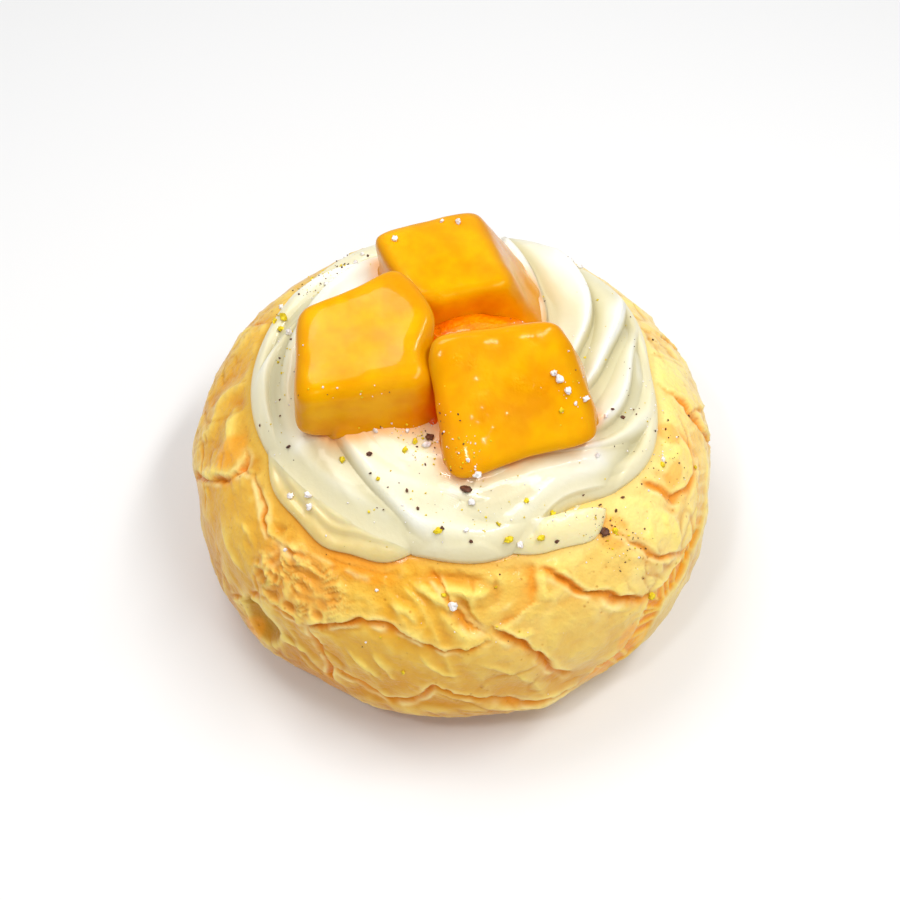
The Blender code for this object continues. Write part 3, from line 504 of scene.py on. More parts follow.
def plateRelief(points, calm, crumple):
    # soft diagonal folds, wrinkles and flakes over the plates, less of them where it is calm, with
    # creases cut in, and sharper folds in the crumpled middle
    values = crustValues
    diagonal = drawnOut(points, *values["foldGrain"])
    folded = easeStep(levelNoise(points, *values["foldPlaces"]))
    folds = ridgeNoise(diagonal, *values["foldRidges"]) * folded
    sharp = ridgeNoise(diagonal, *values["sharpRidges"])
    flakes = flakySteps(noiseSum(drawnOut(points, *values["flakeGrain"]), values["flakeNoise"]))
    creases = sum(skinCreases(points, *line) for line in values["creaseLines"])
    wrinkles = ridgeNoise(drawnOut(points, *values["wrinkleGrain"]), *values["wrinkleRidges"])
    wrinkled = easeStep(levelNoise(points, *values["wrinklePlaces"]))
    busy = (values["plateFolds"] * folds + values["plateWrinkles"] * wrinkled * wrinkles
            + values["plateFlakes"] * flakes)
    relief = (1.0 - values["calmShare"] * calm) * busy - values["creaseDepth"] * (1.0 - calm) * creases
    return relief + values["crumple"][4] * crumple * sharp, creases


def crustSurface(azimuth, arc):
    # height of the crust over the plain bun, with the masks that its finish reads
    values = crustValues
    points, normals = onBun(azimuth, arc)
    cracks, groove, highlightedCrest, orangeAndShade, browned = crackRelief(points, normals)
    strip, ridges, bared = breadStrip(points, normals)
    hollow = hollowShape(azimuth, arc)
    calm = largestPatch(azimuth, arc, values["calmPlates"])
    crumbled, lumpy, crumple, footBand = (patchWeight(azimuth, arc, values[name]) for name in
                                          ("crumbledPatch", "lumpyPatch", "crumple", "footBand"))
    relief = noiseSum(points, values["swells"]) + cracks
    relief = relief + strip * (values["ridgeHeight"] * ridges - values["breadDepth"])
    relief = relief + values["footBand"][4] * footBand + values["hollow"][4] * hollow
    relief = relief + crumbled * crumbledRelief(points, azimuth, arc)
    lumps = ridgeNoise(points, *values["lumpRidges"])
    crinkles = ridgeNoise(drawnOut(points, *values["crinkleGrain"]), *values["crinkleRidges"])
    least, lumpShare, crinkleShare = values["lumpShares"]
    relief = relief + values["lumpyPatch"][4] * lumpy * (least + lumpShare * lumps + crinkleShare * crinkles)
    smooth = 1.0 - np.maximum.reduce([strip, hollow, crumbled])
    plates, creases = plateRelief(points, calm, crumple)
    relief = relief + smooth * (plates + foldRelief(points, normals))
    rough = np.clip(browned + lumpy + values["crumbledRough"] * crumbled, 0.0, 1.0)
    leastGrain, moreGrain, wavelength, seed = values["grain"]
    relief = relief + (leastGrain + moreGrain * rough) * softNoise(points, wavelength, seed)
    relief = relief + noiseSum(points, values["softGrain"])
    # under the layers and at the foot the crust is the plain bun
    covered = np.interp(np.maximum(creamRim(azimuth), custardRim(azimuth)), crownRadius, crownArc)
    bare = easeStep((arc - covered - values["bareFrom"]) / values["bareRun"])
    relief = relief * bare * easeStep((bunValues["footFlatArc"] - arc) / bunValues["footEase"])
    stands = standing(relief, values["standing"])
    beside = np.exp(-np.maximum(arc - covered, 0.0) / values["glazeReach"])
    blush = largestPatch(azimuth, arc, values["blushes"])
    x = points[..., 0]
    masks = {
        # orange along the cracks: the plates' own browned edge on the high side, painted shade on the low
        # side, with orange patches of the crust's own; the crest is a painted highlight and the groove
        # painted shade
        "orangeAndShade": np.maximum(orangeAndShade * bare, values["blushShare"] * blush),
        "highlightedCrest": highlightedCrest * bare, "groove": np.clip(groove, 0.0, 1.0) * bare, "browned": browned * bare,
        "bread": strip * bared, "blocks": strip * bared * (0.5 - 0.5 * ridges),
        # painted shade: the hollow is painted darker olive
        "crumbled": crumbled, "hollow": hollow, "lumpy": lumpy,
        # painted shade: the creases are painted darker
        "creases": creases * smooth * bare * (1.0 - calm),
        # painted shade: darker towards the foot, which faces away from the light, less so on the lit right
        "foot": easeStep((arc - 50.0) / 28.0) * (1.0 - 0.4 * easeStep((x - 6.0) / 14.0)),
        # painted light and shade: paler towards the lit right, darker olive towards the left
        "pale": easeStep((x + 8.0) / 46.0) * (1.0 - 0.5 * calm),
        "left": easeStep((-12.0 - x) / 22.0),
        # painted highlight where a place stands above what lies round it, painted shade where it lies below
        "raisedHighlight": np.clip(stands, 0.0, 1.0), "sunkenShade": np.clip(-stands, 0.0, 1.0),
        # the glaze's own orange along the layers' edge, with painted shade under that edge
        "glaze": beside * (values["glazeLeast"] + swellsRound(azimuth, values["glaze"])),
    }
    return relief, masks


# The custard and the cream lie on the crust with a rounded lip: how far the underside sinks in behind
# the lip, how high the lip is, and the shares of the radius where they start.
layerValues = {
    "custardLift": 0.25, "creamLift": 0.5, "sink": 0.4, "sinkFrom": 0.88, "sinkRun": 0.08,
    "lip": 0.45, "lipFrom": 0.968, "gap": 0.4, "innerGap": 0.3, "innerFrom": 36.5, "innerRun": 5.0,
}

custardValues = {
    "radius": 34.6, "thickness": 2.1, "rounding": 18,
    "wave": 0.55, "waveLength": 5.5, "calmRim": (302.0, 18.0, 0.85),
    "lobes": ((238, 17, 5.3), (294, 16.3, 4.1), (308.7, 8.2, 3.65), (214, 13, 3.4), (254, 8, 1.8)),
    "tongue": (292.0, 34.4, 0.0074, 32.0),      # where it starts, its inner radius, spread and span
    "tongueEase": 4.0, "swell": 0.9,
    "lumps": ((5.0, 0.4, 91), (2.2, 0.12, 92)), "flakes": 0.3,
    "folds": ((1.7, 0.5), (3.3, 0.5), (5.2, 0.4)),                # distance from the rim and height
    "foldsAt": (228.0, 30.0), "creamyReach": 1.6,
    "columns": 720, "rings": 100,
}

creamValues = {
    "radius": 37.4, "height": 4.9, "powers": (9.0, 0.6),
    "rise": ((62, 34, 2.9), (132, 30, 2.4)),
    "rim": ((279, 16, 0.9), (304, 14, -3.4), (337, 12, 1.0), (5, 11, -0.9), (30, 14, 1.2),
            (226, 27, -1.6), (120, 50, 0.5)),
    "foldCore": 0.4, "foldLift": 1.0, "foldRun": 4.2, "foldBulge": 2.4,
    "deeper": 1.3, "lapOver": 1.9, "steeper": 0.65,             # shares of each fold's own values
    "bead": (205, 60, 1.0), "beadShare": 0.93, "beadWidth": 0.045,
    "welling": 0.7, "wellingReach": 1.6, "lumps": ((5.0, 0.10, 95), (1.6, 0.03, 96)),
    "glowReach": 1.5, "reflectionReach": 2.4,
    # wet places, with their reach
    "wetPlaces": ((-12.6, -28.3, 52.2, 2.2), (-7.6, -30.6, 52.1, 2.6), (10.4, -28.7, 51.3, 2.4),
                  (14.7, -30.1, 49.6, 1.8)),
    "columns": 720, "rings": 124, "twist": 0.3, "standing": ((1.1, 5), (0.5, 14)),
}

# Each piped fold: azimuth where it meets the rim, spiral pitch, depth, width of its steep side,
# height of the edge that laps over it, and the share of the radius where it starts.
creamFolds = (
    (252, 0.12, 2.5, 1.6, 0.3, 0.55), (252, 0.27, 2.0, 1.8, 0.4, 0.6), (267, 0.33, 2.7, 1.6, 1.0, 0.66),
    (334, 0.22, 2.1, 1.6, 0.4, 0.74), (353, 0.29, 2.5, 1.1, 0.8, 0.66), (27, 0.234, 2.6, 0.8, 1.0, 0.6),
    (33, 0.49, 2.6, 0.8, 1.1, 0.5), (62, 0.457, 2.4, 0.9, 0.8, 0.45), (84, 0.70, 2.0, 1.2, 0.6, 0.4),
    (118, 0.50, 2.4, 0.9, 0.8, 0.5), (150, 0.42, 2.4, 0.9, 0.8, 0.5), (186, 0.30, 2.2, 1.1, 0.7, 0.6),
)


def creamRim(azimuth):
    # the radius and its swells
    return creamValues["radius"] + swellsRound(azimuth, creamValues["rim"])


def custardRim(azimuth):
    # the radius, its lobes, and waves from a noise read round a circle, fewer where the rim is calm
    values = custardValues
    rim = values["radius"] + swellsRound(azimuth, values["lobes"])
    centre, width, share = values["calmRim"]
    wavy = 1.0 - share * bell(turnBetween(azimuth, centre), width, 4)
    circle = atHeight(azimuth, 38.0, np.zeros_like(azimuth))
    return rim + values["wave"] * wavy * softNoise(circle, values["waveLength"], 93)


def layerGap(radius):
    # the gap under a layer: the solids' own gap, so that the layers lie where the solids do
    values = layerValues
    return values["gap"] + values["innerGap"] * easeStep((values["innerFrom"] - radius) / values["innerRun"])


def underside(support, gap, share):
    # gap above the support, sunk into it near the rim and raised again under the lip
    values = layerValues
    sunk = (gap + values["sink"]) * easeStep((share - values["sinkFrom"]) / values["sinkRun"])
    intoLip = (share - values["lipFrom"]) / (1.0 - values["lipFrom"])
    lip = (values["lip"] + values["sink"]) * easeStep(intoLip)
    return support + gap - sunk + lip


def custardTongue(azimuth, radius):
    # the right lobe is a tongue. First value: 1 on the bare crust inside of its inner edge, which is a
    # parabola of the turn. Second value: how the tongue swells, 4 m (1 - m) with m from 0 to 1 across it.
    values = custardValues
    start, innerRadius, spread, span = values["tongue"]
    turn = turnBetween(azimuth, start)
    inner = innerRadius + spread * np.maximum(turn, 0.0) ** 2
    beyond = easeStep((radius - creamRim(azimuth) + 0.9) / 0.6)
    tongue = easeStep(turn / values["tongueEase"]) * easeStep((span - turn) / values["tongueEase"])
    middle = np.clip((radius - inner) / np.maximum(custardRim(azimuth) - inner, 0.8), 0.0, 1.0)
    return easeStep((inner - radius) / 0.8 + 0.5) * tongue * beyond, 4.0 * middle * (1.0 - middle) * tongue


def custardLevels(azimuth, radius):
    # underside and top: the thickness times sqrt(1 - share^rounding) rounds off to the rim
    values = custardValues
    share = np.clip(radius / custardRim(azimuth), 0.0, 1.0)
    crustTop, gap = bunTop(radius), layerGap(radius)
    high = crustTop + gap + values["thickness"] * np.sqrt(1.0 - share ** values["rounding"])
    high = high + layerValues["custardLift"]
    bare, swell = custardTongue(azimuth, radius)
    high = high - bare * (high - crustTop + 0.5) + values["swell"] * np.sqrt(swell)
    return np.minimum(underside(crustTop, gap, share), high), high


def foldHeight(azimuth, radius):
    # the cream sinks towards each spiral line and laps over it beyond: outside the line the height is
    # -depth exp(across / foldRun), and inside it lap (1 - r) exp(-across / foldBulge) - depth r with
    # r = exp(-(across / steep)^1.5)
    values = creamValues
    share = np.maximum(radius / creamRim(azimuth), values["foldCore"])
    total, sunk = np.zeros(share.shape), np.zeros(share.shape)
    for meetsRim, pitch, depth, steep, lap, start in creamFolds:
        depth, lap, steep = depth * values["deeper"], lap * values["lapOver"], values["steeper"] * steep
        past = turnBetween(azimuth - np.degrees(np.log(share) / pitch), meetsRim)
        across = np.radians(past) * radius * pitch / math.hypot(1.0, pitch)
        outward, inward = np.minimum(across, 0.0), np.maximum(across, 0.0)
        outer = -depth * np.exp(outward / values["foldRun"])
        drop = bell(inward, steep, 1.5)
        inner = lap * (1.0 - drop) * np.exp(-inward / values["foldBulge"]) - depth * drop
        # a fold that runs close along the rim isn't told apart from it
        apart = easeStep((1.0 - np.exp(pitch * np.radians(turnBetween(azimuth, meetsRim)))) / 0.1)
        shown = easeStep((share - start) / 0.14) * apart
        total += np.where(across < 0.0, outer, inner) * shown
        # how near each place lies to a fold's valley, which the finish paints as shade
        sunk = np.maximum(sunk, np.where(across < 0.0, np.exp(outward / 2.5), drop) * shown)
    fade = easeStep((1.03 - share) / 0.13)
    return total * fade, sunk * fade


def creamLevels(azimuth, radius):
    # underside, folded top and how sunk each place is, which the finish paints as shade in the folds;
    # with powers a and b the mound is (height + rise)(1 - share^a)^b
    values = creamValues
    share = np.clip(radius / creamRim(azimuth), 0.0, 1.0)
    crustTop, gap = bunTop(radius), layerGap(radius)
    power, root = values["powers"]
    rise = swellsRound(azimuth, values["rise"]) * easeStep((share - 0.35) / 0.35)
    mound = (values["height"] + rise) * (1.0 - share ** power) ** root
    ring = values["foldLift"] * easeStep((share - 0.5) / 0.3) * easeStep((1.05 - share) / 0.14)
    centre, width, size = values["bead"]
    bead = size * bell(turnBetween(azimuth, centre), width, 4)
    bead = bead * bell(share - values["beadShare"], values["beadWidth"])
    # near the rim it rests on the custard where there is some
    overCustard = easeStep((custardRim(azimuth) + 1.6 - radius) / 1.2)
    support = crustTop + (custardLevels(azimuth, radius)[1] - crustTop) * overCustard
    low = underside(support, gap, share) - 0.8 * overCustard * easeStep((share - 0.9) / 0.06)
    folds, sunk = foldHeight(azimuth, radius)
    atRim = easeStep((share - 0.9) / 0.1)
    covered = support + gap * (1.0 - atRim)
    lift = layerValues["creamLift"] * (1.0 - overCustard * atRim)
    return low, np.maximum(crustTop + gap + mound + ring + folds + bead, covered) + lift, sunk


mangoValues = {
    "cells": 80, "unevenness": ((8.0, 0.14, 101), (2.6, 0.05, 102)), "runWidth": 3.0, "runHeight": 0.28,
    "flare": 1.3, "flareHeight": 1.1, "touchHeight": 0.9, "deepReach": 3.2, "deepBelow": 67.5,
    "nearCreamReach": 2.2,
    "wetPlaces": ((0.2, -12.6, 67.6, 1.3), (3.0, -12.8, 67.2, 1.0), (14.0, -15.2, 63.6, 1.7),
                  (11.0, -14.9, 64.5, 1.4), (22.6, -15.4, 60.9, 1.0), (2.5, 3.8, 60.7, 1.3),
                  (7.9, 4.6, 60.0, 1.6), (-2.5, 3.9, 66.0, 0.9)),
}

# Corners of each piece: four of the top face and then four of the bottom face, clockwise from the
# back left.
mangoCorners = {
    "mangoBack": [(-14.8, 17.6, 67.5), (3.5, 23.5, 68.0), (10.2, 5.6, 67.0), (-7.1, 2.3, 66.5),
                  (-13.5, 19.5, 54.0), (9.5, 26.5, 55.5), (15.6, 7.0, 54.0), (-5.6, 1.4, 53.0)],
    "mangoLeft": [(-26.8, -0.8, 68.0), (-8.9, 5.0, 70.6), (-3.9, -15.0, 66.0), (-25.9, -18.0, 64.5),
                  (-26.4, -1.5, 54.0), (-8.6, 0.2, 53.5), (-1.6, -14.6, 53.0), (-26.8, -17.4, 53.0)],
    "mangoRight": [(-1.6, -2.6, 60.0), (17.4, 0.6, 59.0), (17.7, -6.4, 71.0), (-4.6, -9.7, 70.0),
                   (-0.9, -16.6, 53.0), (22.6, -11.4, 53.0), (25.2, -20.5, 55.8), (-0.2, -29.2, 54.4)],
}

# How round each piece is (the power of its norm) and how much it is swelled to keep its size.
mangoRoundness = {"mangoBack": (7.5, 1.065), "mangoLeft": (6.6, 1.085), "mangoRight": (6.6, 1.085)}

# Soft bulges and hollows: the place on the cube, the push, and the width in cube units.
mangoBulges = {
    "mangoBack": [((1.0, 0.0, -0.7), (1.6, 0.0, 0.0), 0.7), ((0.2, -1.0, 0.0), (0.0, 0.7, -0.2), 0.7),
                  ((0.5, -1.0, -0.8), (0.4, -1.8, 0.4), 0.6)],
    "mangoLeft": [((1.0, 0.1, 0.8), (2.2, 0.0, 0.3), 0.5), ((1.0, -0.45, 0.9), (-0.9, 0.0, -0.2), 0.35),
                  ((1.0, 1.0, 1.0), (-0.5, 2.3, 0.2), 0.85), ((1.0, 0.35, 0.9), (0.9, 0.0, 0.2), 0.35)],
    "mangoRight": [((1.0, 0.2, 0.1), (1.3, 0.0, 0.5), 0.7), ((0.0, -1.0, -0.9), (0.0, 1.2, 0.5), 0.6),
                   ((-0.6, 1.0, 0.9), (-0.3, 0.9, 0.2), 0.6)],
}


def cubeGrid(cells):
    # six faces of an even grid from -1 to 1, pushed towards the edges by a sine, as points and quads
    line = np.sin(np.linspace(-1.0, 1.0, cells + 1) * math.pi / 2.0)
    across, up = np.meshgrid(line, line, indexing="ij")
    ones = np.ones_like(across)
    faces = [np.stack(face, axis=-1) for face in (
        (across, up, ones), (up, across, -ones), (up, ones, across), (across, -ones, up),
        (ones, across, up), (-ones, up, across))]
    row, column = np.meshgrid(np.arange(cells), np.arange(cells), indexing="ij")
    first = (row * (cells + 1) + column).ravel()
    quad = np.stack([first, first + cells + 1, first + cells + 2, first + 1], axis=-1)
    size = (cells + 1) ** 2
    points = np.concatenate([face.reshape(-1, 3) for face in faces])
    quads = np.concatenate([quad + index * size for index in range(6)])
    # corners that lie on the same place of the cube become one
    keys = np.round(points * 1e6).astype(np.int64)
    _, kept, joined = np.unique(keys, axis=0, return_index=True, return_inverse=True)
    return points[kept], joined.ravel()[quads]


def mangoForm(name, cube):
    # a cube point is drawn onto a rounded cube (its p-norm is 1) and blended between eight corners
    power, swell = mangoRoundness[name]
    rounded = cube / (np.abs(cube) ** power).sum(axis=-1, keepdims=True) ** (1.0 / power)
    corners = np.array(mangoCorners[name])
    centre = corners.mean(axis=0)
    signs = [(x, y, z) for z in (1, -1) for x, y in ((-1, 1), (1, 1), (1, -1), (-1, -1))]
    points = sum(0.125 * np.prod(1.0 + rounded * np.array(sign), axis=-1)[..., None] * corner
                 for sign, corner in zip(signs, corners))
    for toward, push, width in mangoBulges[name]:
        near = bell(np.linalg.norm(rounded - toward, axis=-1), width)
        points = points + near[..., None] * np.array(push)
    return centre + (points - centre) * swell


def mangoFootDistance(x, y):
    # distance in plan to the nearest mango foot, negative inside: the rounded box of its four corners
    best = np.full(np.shape(x), 1e9)
    for corners in mangoCorners.values():
        foot = np.array(corners)[4:, :2]
        inside = np.full(np.shape(x), -1e9)
        for start, end in zip(foot, np.roll(foot, -1, axis=0)):
            heading = (end - start) / np.linalg.norm(end - start)
            inside = np.maximum(inside, -(heading[1] * (x - start[0]) - heading[0] * (y - start[1])))
        best = np.minimum(best, inside)
    return best


def makeCrust():
    # rings from the crown to the foot, moved out along the normals by the crust's relief
    values = bunValues
    turn = np.linspace(0.0, 2.0 * math.pi, values["columns"], endpoint=False)
    azimuth = np.degrees(turn - values["frontCrowding"] * np.sin(turn - math.radians(270.0)))
    stops = [stop for stop, count in values["ringStops"]] + [bunArc[-1]]
    arcs = np.concatenate([np.linspace(start, end, count, endpoint=False) for start, end, (stop, count)
                           in zip(stops[:-1], stops[1:], values["ringStops"])] + [[bunArc[-1]]])
    around, down = np.meshgrid(azimuth, arcs)
    points, normals = onBun(around, down)
    relief, masks = crustSurface(around, down)
    points = points + relief[..., None] * normals
    points[-1, :, 2] = 0.0
    base = np.array([points[-1] * (share, share, 0.0) for share in values["footShares"]])
    crust = makePiece("crust", *closedGrid(np.concatenate([points, base])))
    for name, mask in masks.items():
        setRingMask(crust, name, mask, base)
    return crust


def makeCustard():
    # rings of the custard's top, roughened by noises and thin folds, and of its underside
    values = custardValues
    azimuth = np.linspace(0.0, 360.0, values["columns"], endpoint=False)
    share = np.sin(np.linspace(0.0, math.pi / 2.0, values["rings"]))
    around, out = np.meshgrid(azimuth, share)
    radius = out * custardRim(around)
    low, high = custardLevels(around, radius)
    points = atHeight(around, radius, high)
    lumps = noiseSum(points, values["lumps"])
    lumps = lumps + values["flakes"] * (flakySteps(2.0 * softNoise(points, 10.0, 97)) + 0.5)
    # on the left thin folds run along the rim, one over the other
    inward = custardRim(around) - radius + 0.9 * softNoise(drawnOut(points, (0.7, -0.7, 0.0), 2.5), 7.0, 98)
    centre, width = values["foldsAt"]
    left = bell(turnBetween(around, centre), width, 4)
    for distance, height in values["folds"]:
        past = inward - distance
        lumps = lumps + left * height * (easeStep(past / 0.5) + 0.5 * bell(past - 0.6, 0.5) - 0.7)
    shown = easeStep((radius - creamRim(around) + 0.3) / 1.2)
    points[..., 2] += lumps * easeStep((1.0 - out) / 0.05) * shown
    under = atHeight(around, radius, low)[::-6]
    whole = np.concatenate([points, under])
    custard = makePiece("custardLayer", *closedGrid(whole))
    # pale like the cream beside it, and paler all over on the right
    creamy = np.exp(-np.maximum(radius - creamRim(around), 0.0) / values["creamyReach"])
    setRingMask(custard, "creamy", creamy, under)
    setMask(custard, "right", ringMask(easeStep((whole[..., 0] - 4.0) / 14.0)))
    return custard


def makeCream():
    # rings of the cream's folded top, whose columns turn with the spiral, and of its underside
    values = creamValues
    azimuth = np.linspace(0.0, 360.0, values["columns"], endpoint=False)
    share = np.sin(np.linspace(0.0, math.pi / 2.0, values["rings"])) ** 0.9
    around, out = np.meshgrid(azimuth, share)
    around = around + np.degrees(np.log(np.maximum(out, values["foldCore"])) / values["twist"])
    radius = out * creamRim(around)
    low, high, sunk = creamLevels(around, radius)
    points = atHeight(around, radius, high)
    # it wells up round the mango
    foot = mangoFootDistance(points[..., 0], points[..., 1])
    welling = values["welling"] * np.exp(-np.maximum(foot, 0.0) / values["wellingReach"])
    points[..., 2] += (welling + noiseSum(points, values["lumps"])) * easeStep((1.0 - out) / 0.08)
    under = atHeight(around, radius, np.minimum(low, points[..., 2]))[::-9]
    cream = makePiece("pipedCream", *closedGrid(np.concatenate([points, under])))
    stands = standing(points[..., 2] - bunTop(radius), values["standing"])
    # painted highlight on the raised places and painted shade on the sunken ones
    masks = {"sunk": sunk, "raisedHighlight": np.clip(stands, 0.0, 1.0), "sunkenShade": np.clip(-stands, 0.0, 1.0),
             # painted shade on the rounded rim
             "wet": nearPlaces(points, values["wetPlaces"]), "atRim": easeStep((out - 0.9) / 0.1)}
    for name, mask in masks.items():
        setRingMask(cream, name, mask, under, 0.0)
    return cream


def nearPlaces(points, places):
    # the largest of the bells exp(-(distance / reach)^4) about the places
    return np.maximum.reduce([bell(np.linalg.norm(points - (x, y, z), axis=-1), reach, 4)
                              for x, y, z, reach in places])


def makeMango(name, cube, quads):
    # the rounded form with soft unevenness; where it stands on the cream the glaze flares out by
    # flare exp(-height over the cream / flareHeight)
    values = mangoValues
    points = mangoForm(name, cube)
    outward = points - points.mean(axis=0)
    outward /= np.linalg.norm(outward, axis=-1, keepdims=True)
    # the glaze runs down the sides in soft ridges
    steep = easeStep((np.abs(cube[:, :2]).max(axis=1) - np.abs(cube[:, 2]) + 0.1) / 0.4)
    runs = softNoise(drawnOut(points, (0.1, 0.0, 1.0), 3.0), values["runWidth"], 104)
    uneven = noiseSum(points, values["unevenness"]) + values["runHeight"] * steep * runs
    points = points + uneven[:, None] * outward
    radius, turn = np.hypot(points[:, 0], points[:, 1]), np.arctan2(points[:, 1], points[:, 0])
    over = np.maximum(points[:, 2] - creamLevels(np.degrees(turn), radius)[1], 0.0)
    flare = values["flare"] * np.exp(-over / values["flareHeight"])
    flare = flare * (0.8 + 0.4 * softNoise(points, 4.0, 103))
    sideways = outward[:, :2] / np.linalg.norm(outward[:, :2], axis=-1, keepdims=True)
    points[:, :2] += flare[:, None] * sideways
    piece = makePiece(name, points, quads)
    others = np.concatenate([mangoForm(other, cube[::91]) for other in mangoRoundness if other != name])
    gap = nearestGap(points, others, 40)
    low = easeStep((values["deepBelow"] - points[:, 2]) / 10.0)
    # painted shade: red-orange in the crevices between the pieces, low down
    setMask(piece, "creviceShade", np.exp(-np.maximum(gap - 0.8, 0.0) / values["deepReach"]) * low)
    setMask(piece, "nearCream", np.exp(-over / values["nearCreamReach"]))
    setMask(piece, "wet", nearPlaces(points, values["wetPlaces"]))
    # painted shade: the faces at either end of the cube's first axis are painted darker
    setMask(piece, "side", easeStep((np.abs(cube[:, 0]) - np.abs(cube[:, 1:]).max(axis=1) + 0.25) / 0.4))
    # the second largest coordinate of a cube point is near 1 along an edge
    setMask(piece, "edge", easeStep((np.sort(np.abs(cube), axis=1)[:, 1] - 0.72) / 0.25))
    return piece, points[over < values["touchHeight"]]


def paintGlowAndReflection(cream, touching):
    # masks of the cream by its distance to the glaze that touches it: a thin painted glow
    # exp(-(gap / reach)^2), the light that the glaze lets through, and a wide painted reflection of the
    # mango's orange exp(-gap / reach)
    places = np.empty(3 * len(cream.data.vertices), dtype=np.float32)
    cream.data.vertices.foreach_get("co", places)
    touching = np.concatenate(touching)[::23].astype(np.float32)
    gap = nearestGap(places.reshape(-1, 3) / mm, touching, 60)
    setMask(cream, "glow", bell(gap, creamValues["glowReach"]))
    setMask(cream, "mangoReflection", np.exp(-gap / creamValues["reflectionReach"]))


poolValues = {
    # centre, half lengths and turn of each pool of glaze that fills a crevice between the pieces
    "pools": (((3.6, 0.8, 57.8), (11.0, 4.8, 4.2), 8.0), ((-4.4, -8.6, 54.6), (3.2, 8.4, 2.6), 8.0),
              ((-4.6, -1.0, 58.5), (4.2, 4.0, 3.4), 0.0), ((-3.4, -7.4, 58.0), (2.3, 7.6, 7.0), 5.0)),
    "unevenness": ((4.0, 0.3, 111), (1.4, 0.08, 112)), "columns": 96, "rings": 40,
}


def makeGlazePools():
    # flattened balls, their surface uneven by a noise, joined in one mesh
    values = poolValues
    turn = np.linspace(0.0, 2.0 * math.pi, values["columns"], endpoint=False)
    around, down = np.meshgrid(turn, np.linspace(0.0, math.pi, values["rings"]))
    ball = np.stack([np.cos(around) * np.sin(down), np.sin(around) * np.sin(down), np.cos(down)], axis=-1)
    vertices, quads, triangles = [], [], []
    for centre, half, degrees in values["pools"]:
        cosine, sine = math.cos(math.radians(degrees)), math.sin(math.radians(degrees))
        turned = np.array([(cosine, sine, 0.0), (-sine, cosine, 0.0), (0.0, 0.0, 1.0)])
        points = (ball * half) @ turned + centre
        points = points + ball * noiseSum(points, values["unevenness"])[..., None]
        places, four, three = closedGrid(points)
        first = sum(len(part) for part in vertices)
        vertices.append(places)
        quads.append(four + first)
        triangles.append(three + first)
    vertices = np.concatenate(vertices)
    pools = makePiece("glazePools", vertices, np.concatenate(quads), np.concatenate(triangles))
    low, front = easeStep((59.5 - vertices[:, 2]) / 4.5), easeStep((-1.0 - vertices[:, 1]) / 5.0)
    # painted shade: red-orange deep down and in the front pool
    setMask(pools, "creviceShade", np.maximum(low, front))
    return pools


crumbKinds = {
    # x, y and length of the large crumbs, with how uneven and how flat they are
    "whiteSugar": {"seed": 3, "uneven": 0.55, "flat": 0.8, "large": [
        (16.8, -13.0, 1.2), (17.7, -13.7, 1.3), (19.2, -15.0, 1.2), (22.2, -15.4, 1.1),
        (3.9, -26.8, 1.3), (20.6, -16.4, 0.5), (2.3, -25.4, 0.7), (-10.6, 15.8, 1.2), (0.7, 19.8, 1.1),
        (-2.2, 20.1, 0.8), (-28.5, -24.7, 1.1), (-25.1, -25.8, 1.1), (-24.8, -27.6, 1.2),
        (-29.4, -32.4, 0.6), (-13.2, -40.7, 0.6), (-0.5, -43.5, 1.7), (2.9, -30.0, 1.2),
        (19.8, -28.9, 1.1), (20.8, -29.2, 0.8), (11.2, -35.3, 1.1), (2.0, -34.8, 0.7),
        (37.5, -14.8, 0.8), (-30.6, 8.7, 1.1), (-17.6, 28.9, 0.8), (-13.5, -17.6, 0.9),
        (-4.7, -20.5, 1.2), (26.3, -13.7, 0.9), (22.3, 28.2, 1.3), (24.1, 26.5, 1.0), (-8.0, -17.6, 0.8),
        (-19.0, 27.0, 1.0), (-32.6, 17.5, 0.9), (24.6, -20.2, 0.9), (-24.0, 20.5, 1.1)]},
    "yellowCrumbs": {"seed": 4, "uneven": 0.55, "flat": 0.7, "large": [
        (-27.7, 28.0, 1.4), (-32.0, 13.5, 1.6), (-32.4, 11.2, 1.4), (-33.5, 13.1, 1.0),
        (-19.6, 23.1, 1.0), (-30.2, 24.3, 0.8), (-23.4, 32.7, 0.8), (-32.0, 1.7, 0.5),
        (-19.3, -21.4, 1.1), (-12.9, -26.6, 0.6), (-8.4, -21.5, 1.1), (-6.7, -19.8, 0.9),
        (-2.6, -35.0, 1.4), (-14.5, -30.7, 0.5), (12.2, -29.5, 1.0), (16.7, -29.8, 1.1),
        (7.4, -33.3, 0.7), (9.1, -35.3, 1.6), (14.8, -34.4, 1.2), (27.9, -29.8, 1.1), (37.3, -15.9, 0.9),
        (-1.9, -42.4, 0.8), (44.3, -11.9, 0.6), (-8.9, -48.6, 0.7), (7.1, -40.6, 0.5),
        (18.1, -17.5, 0.8), (35.2, -34.6, 1.2)]},
    "darkFlakes": {"seed": 5, "uneven": 0.45, "flat": 0.5, "large": [
        (1.9, -28.6, 1.7), (26.0, -30.5, 1.7), (-4.2, -18.9, 1.4), (-14.5, -22.1, 1.1),
        (-28.9, -17.2, 0.85), (-8.0, -28.6, 0.85), (-14.2, -25.5, 0.5), (-6.1, -31.6, 0.55),
        (-2.0, -34.7, 0.7), (2.8, -36.2, 0.8), (17.4, -34.4, 0.8), (29.8, -11.2, 0.7),
        (27.6, -12.1, 0.7), (29.5, -24.0, 0.7), (28.2, -26.6, 0.7), (25.4, -26.1, 0.6),
        (22.3, -25.9, 0.4), (-34.7, -10.6, 0.5), (-17.6, 38.2, 0.4), (-16.6, 28.5, 0.45),
        (-16.4, 26.9, 0.35), (-20.5, 24.6, 0.4), (-29.7, 5.3, 0.45), (-31.8, 2.6, 0.5),
        (38.0, 14.5, 0.5), (43.5, -2.5, 0.5), (38.4, -8.5, 0.5), (36.0, -11.0, 0.45), (20.6, -12.0, 0.3)]},
}

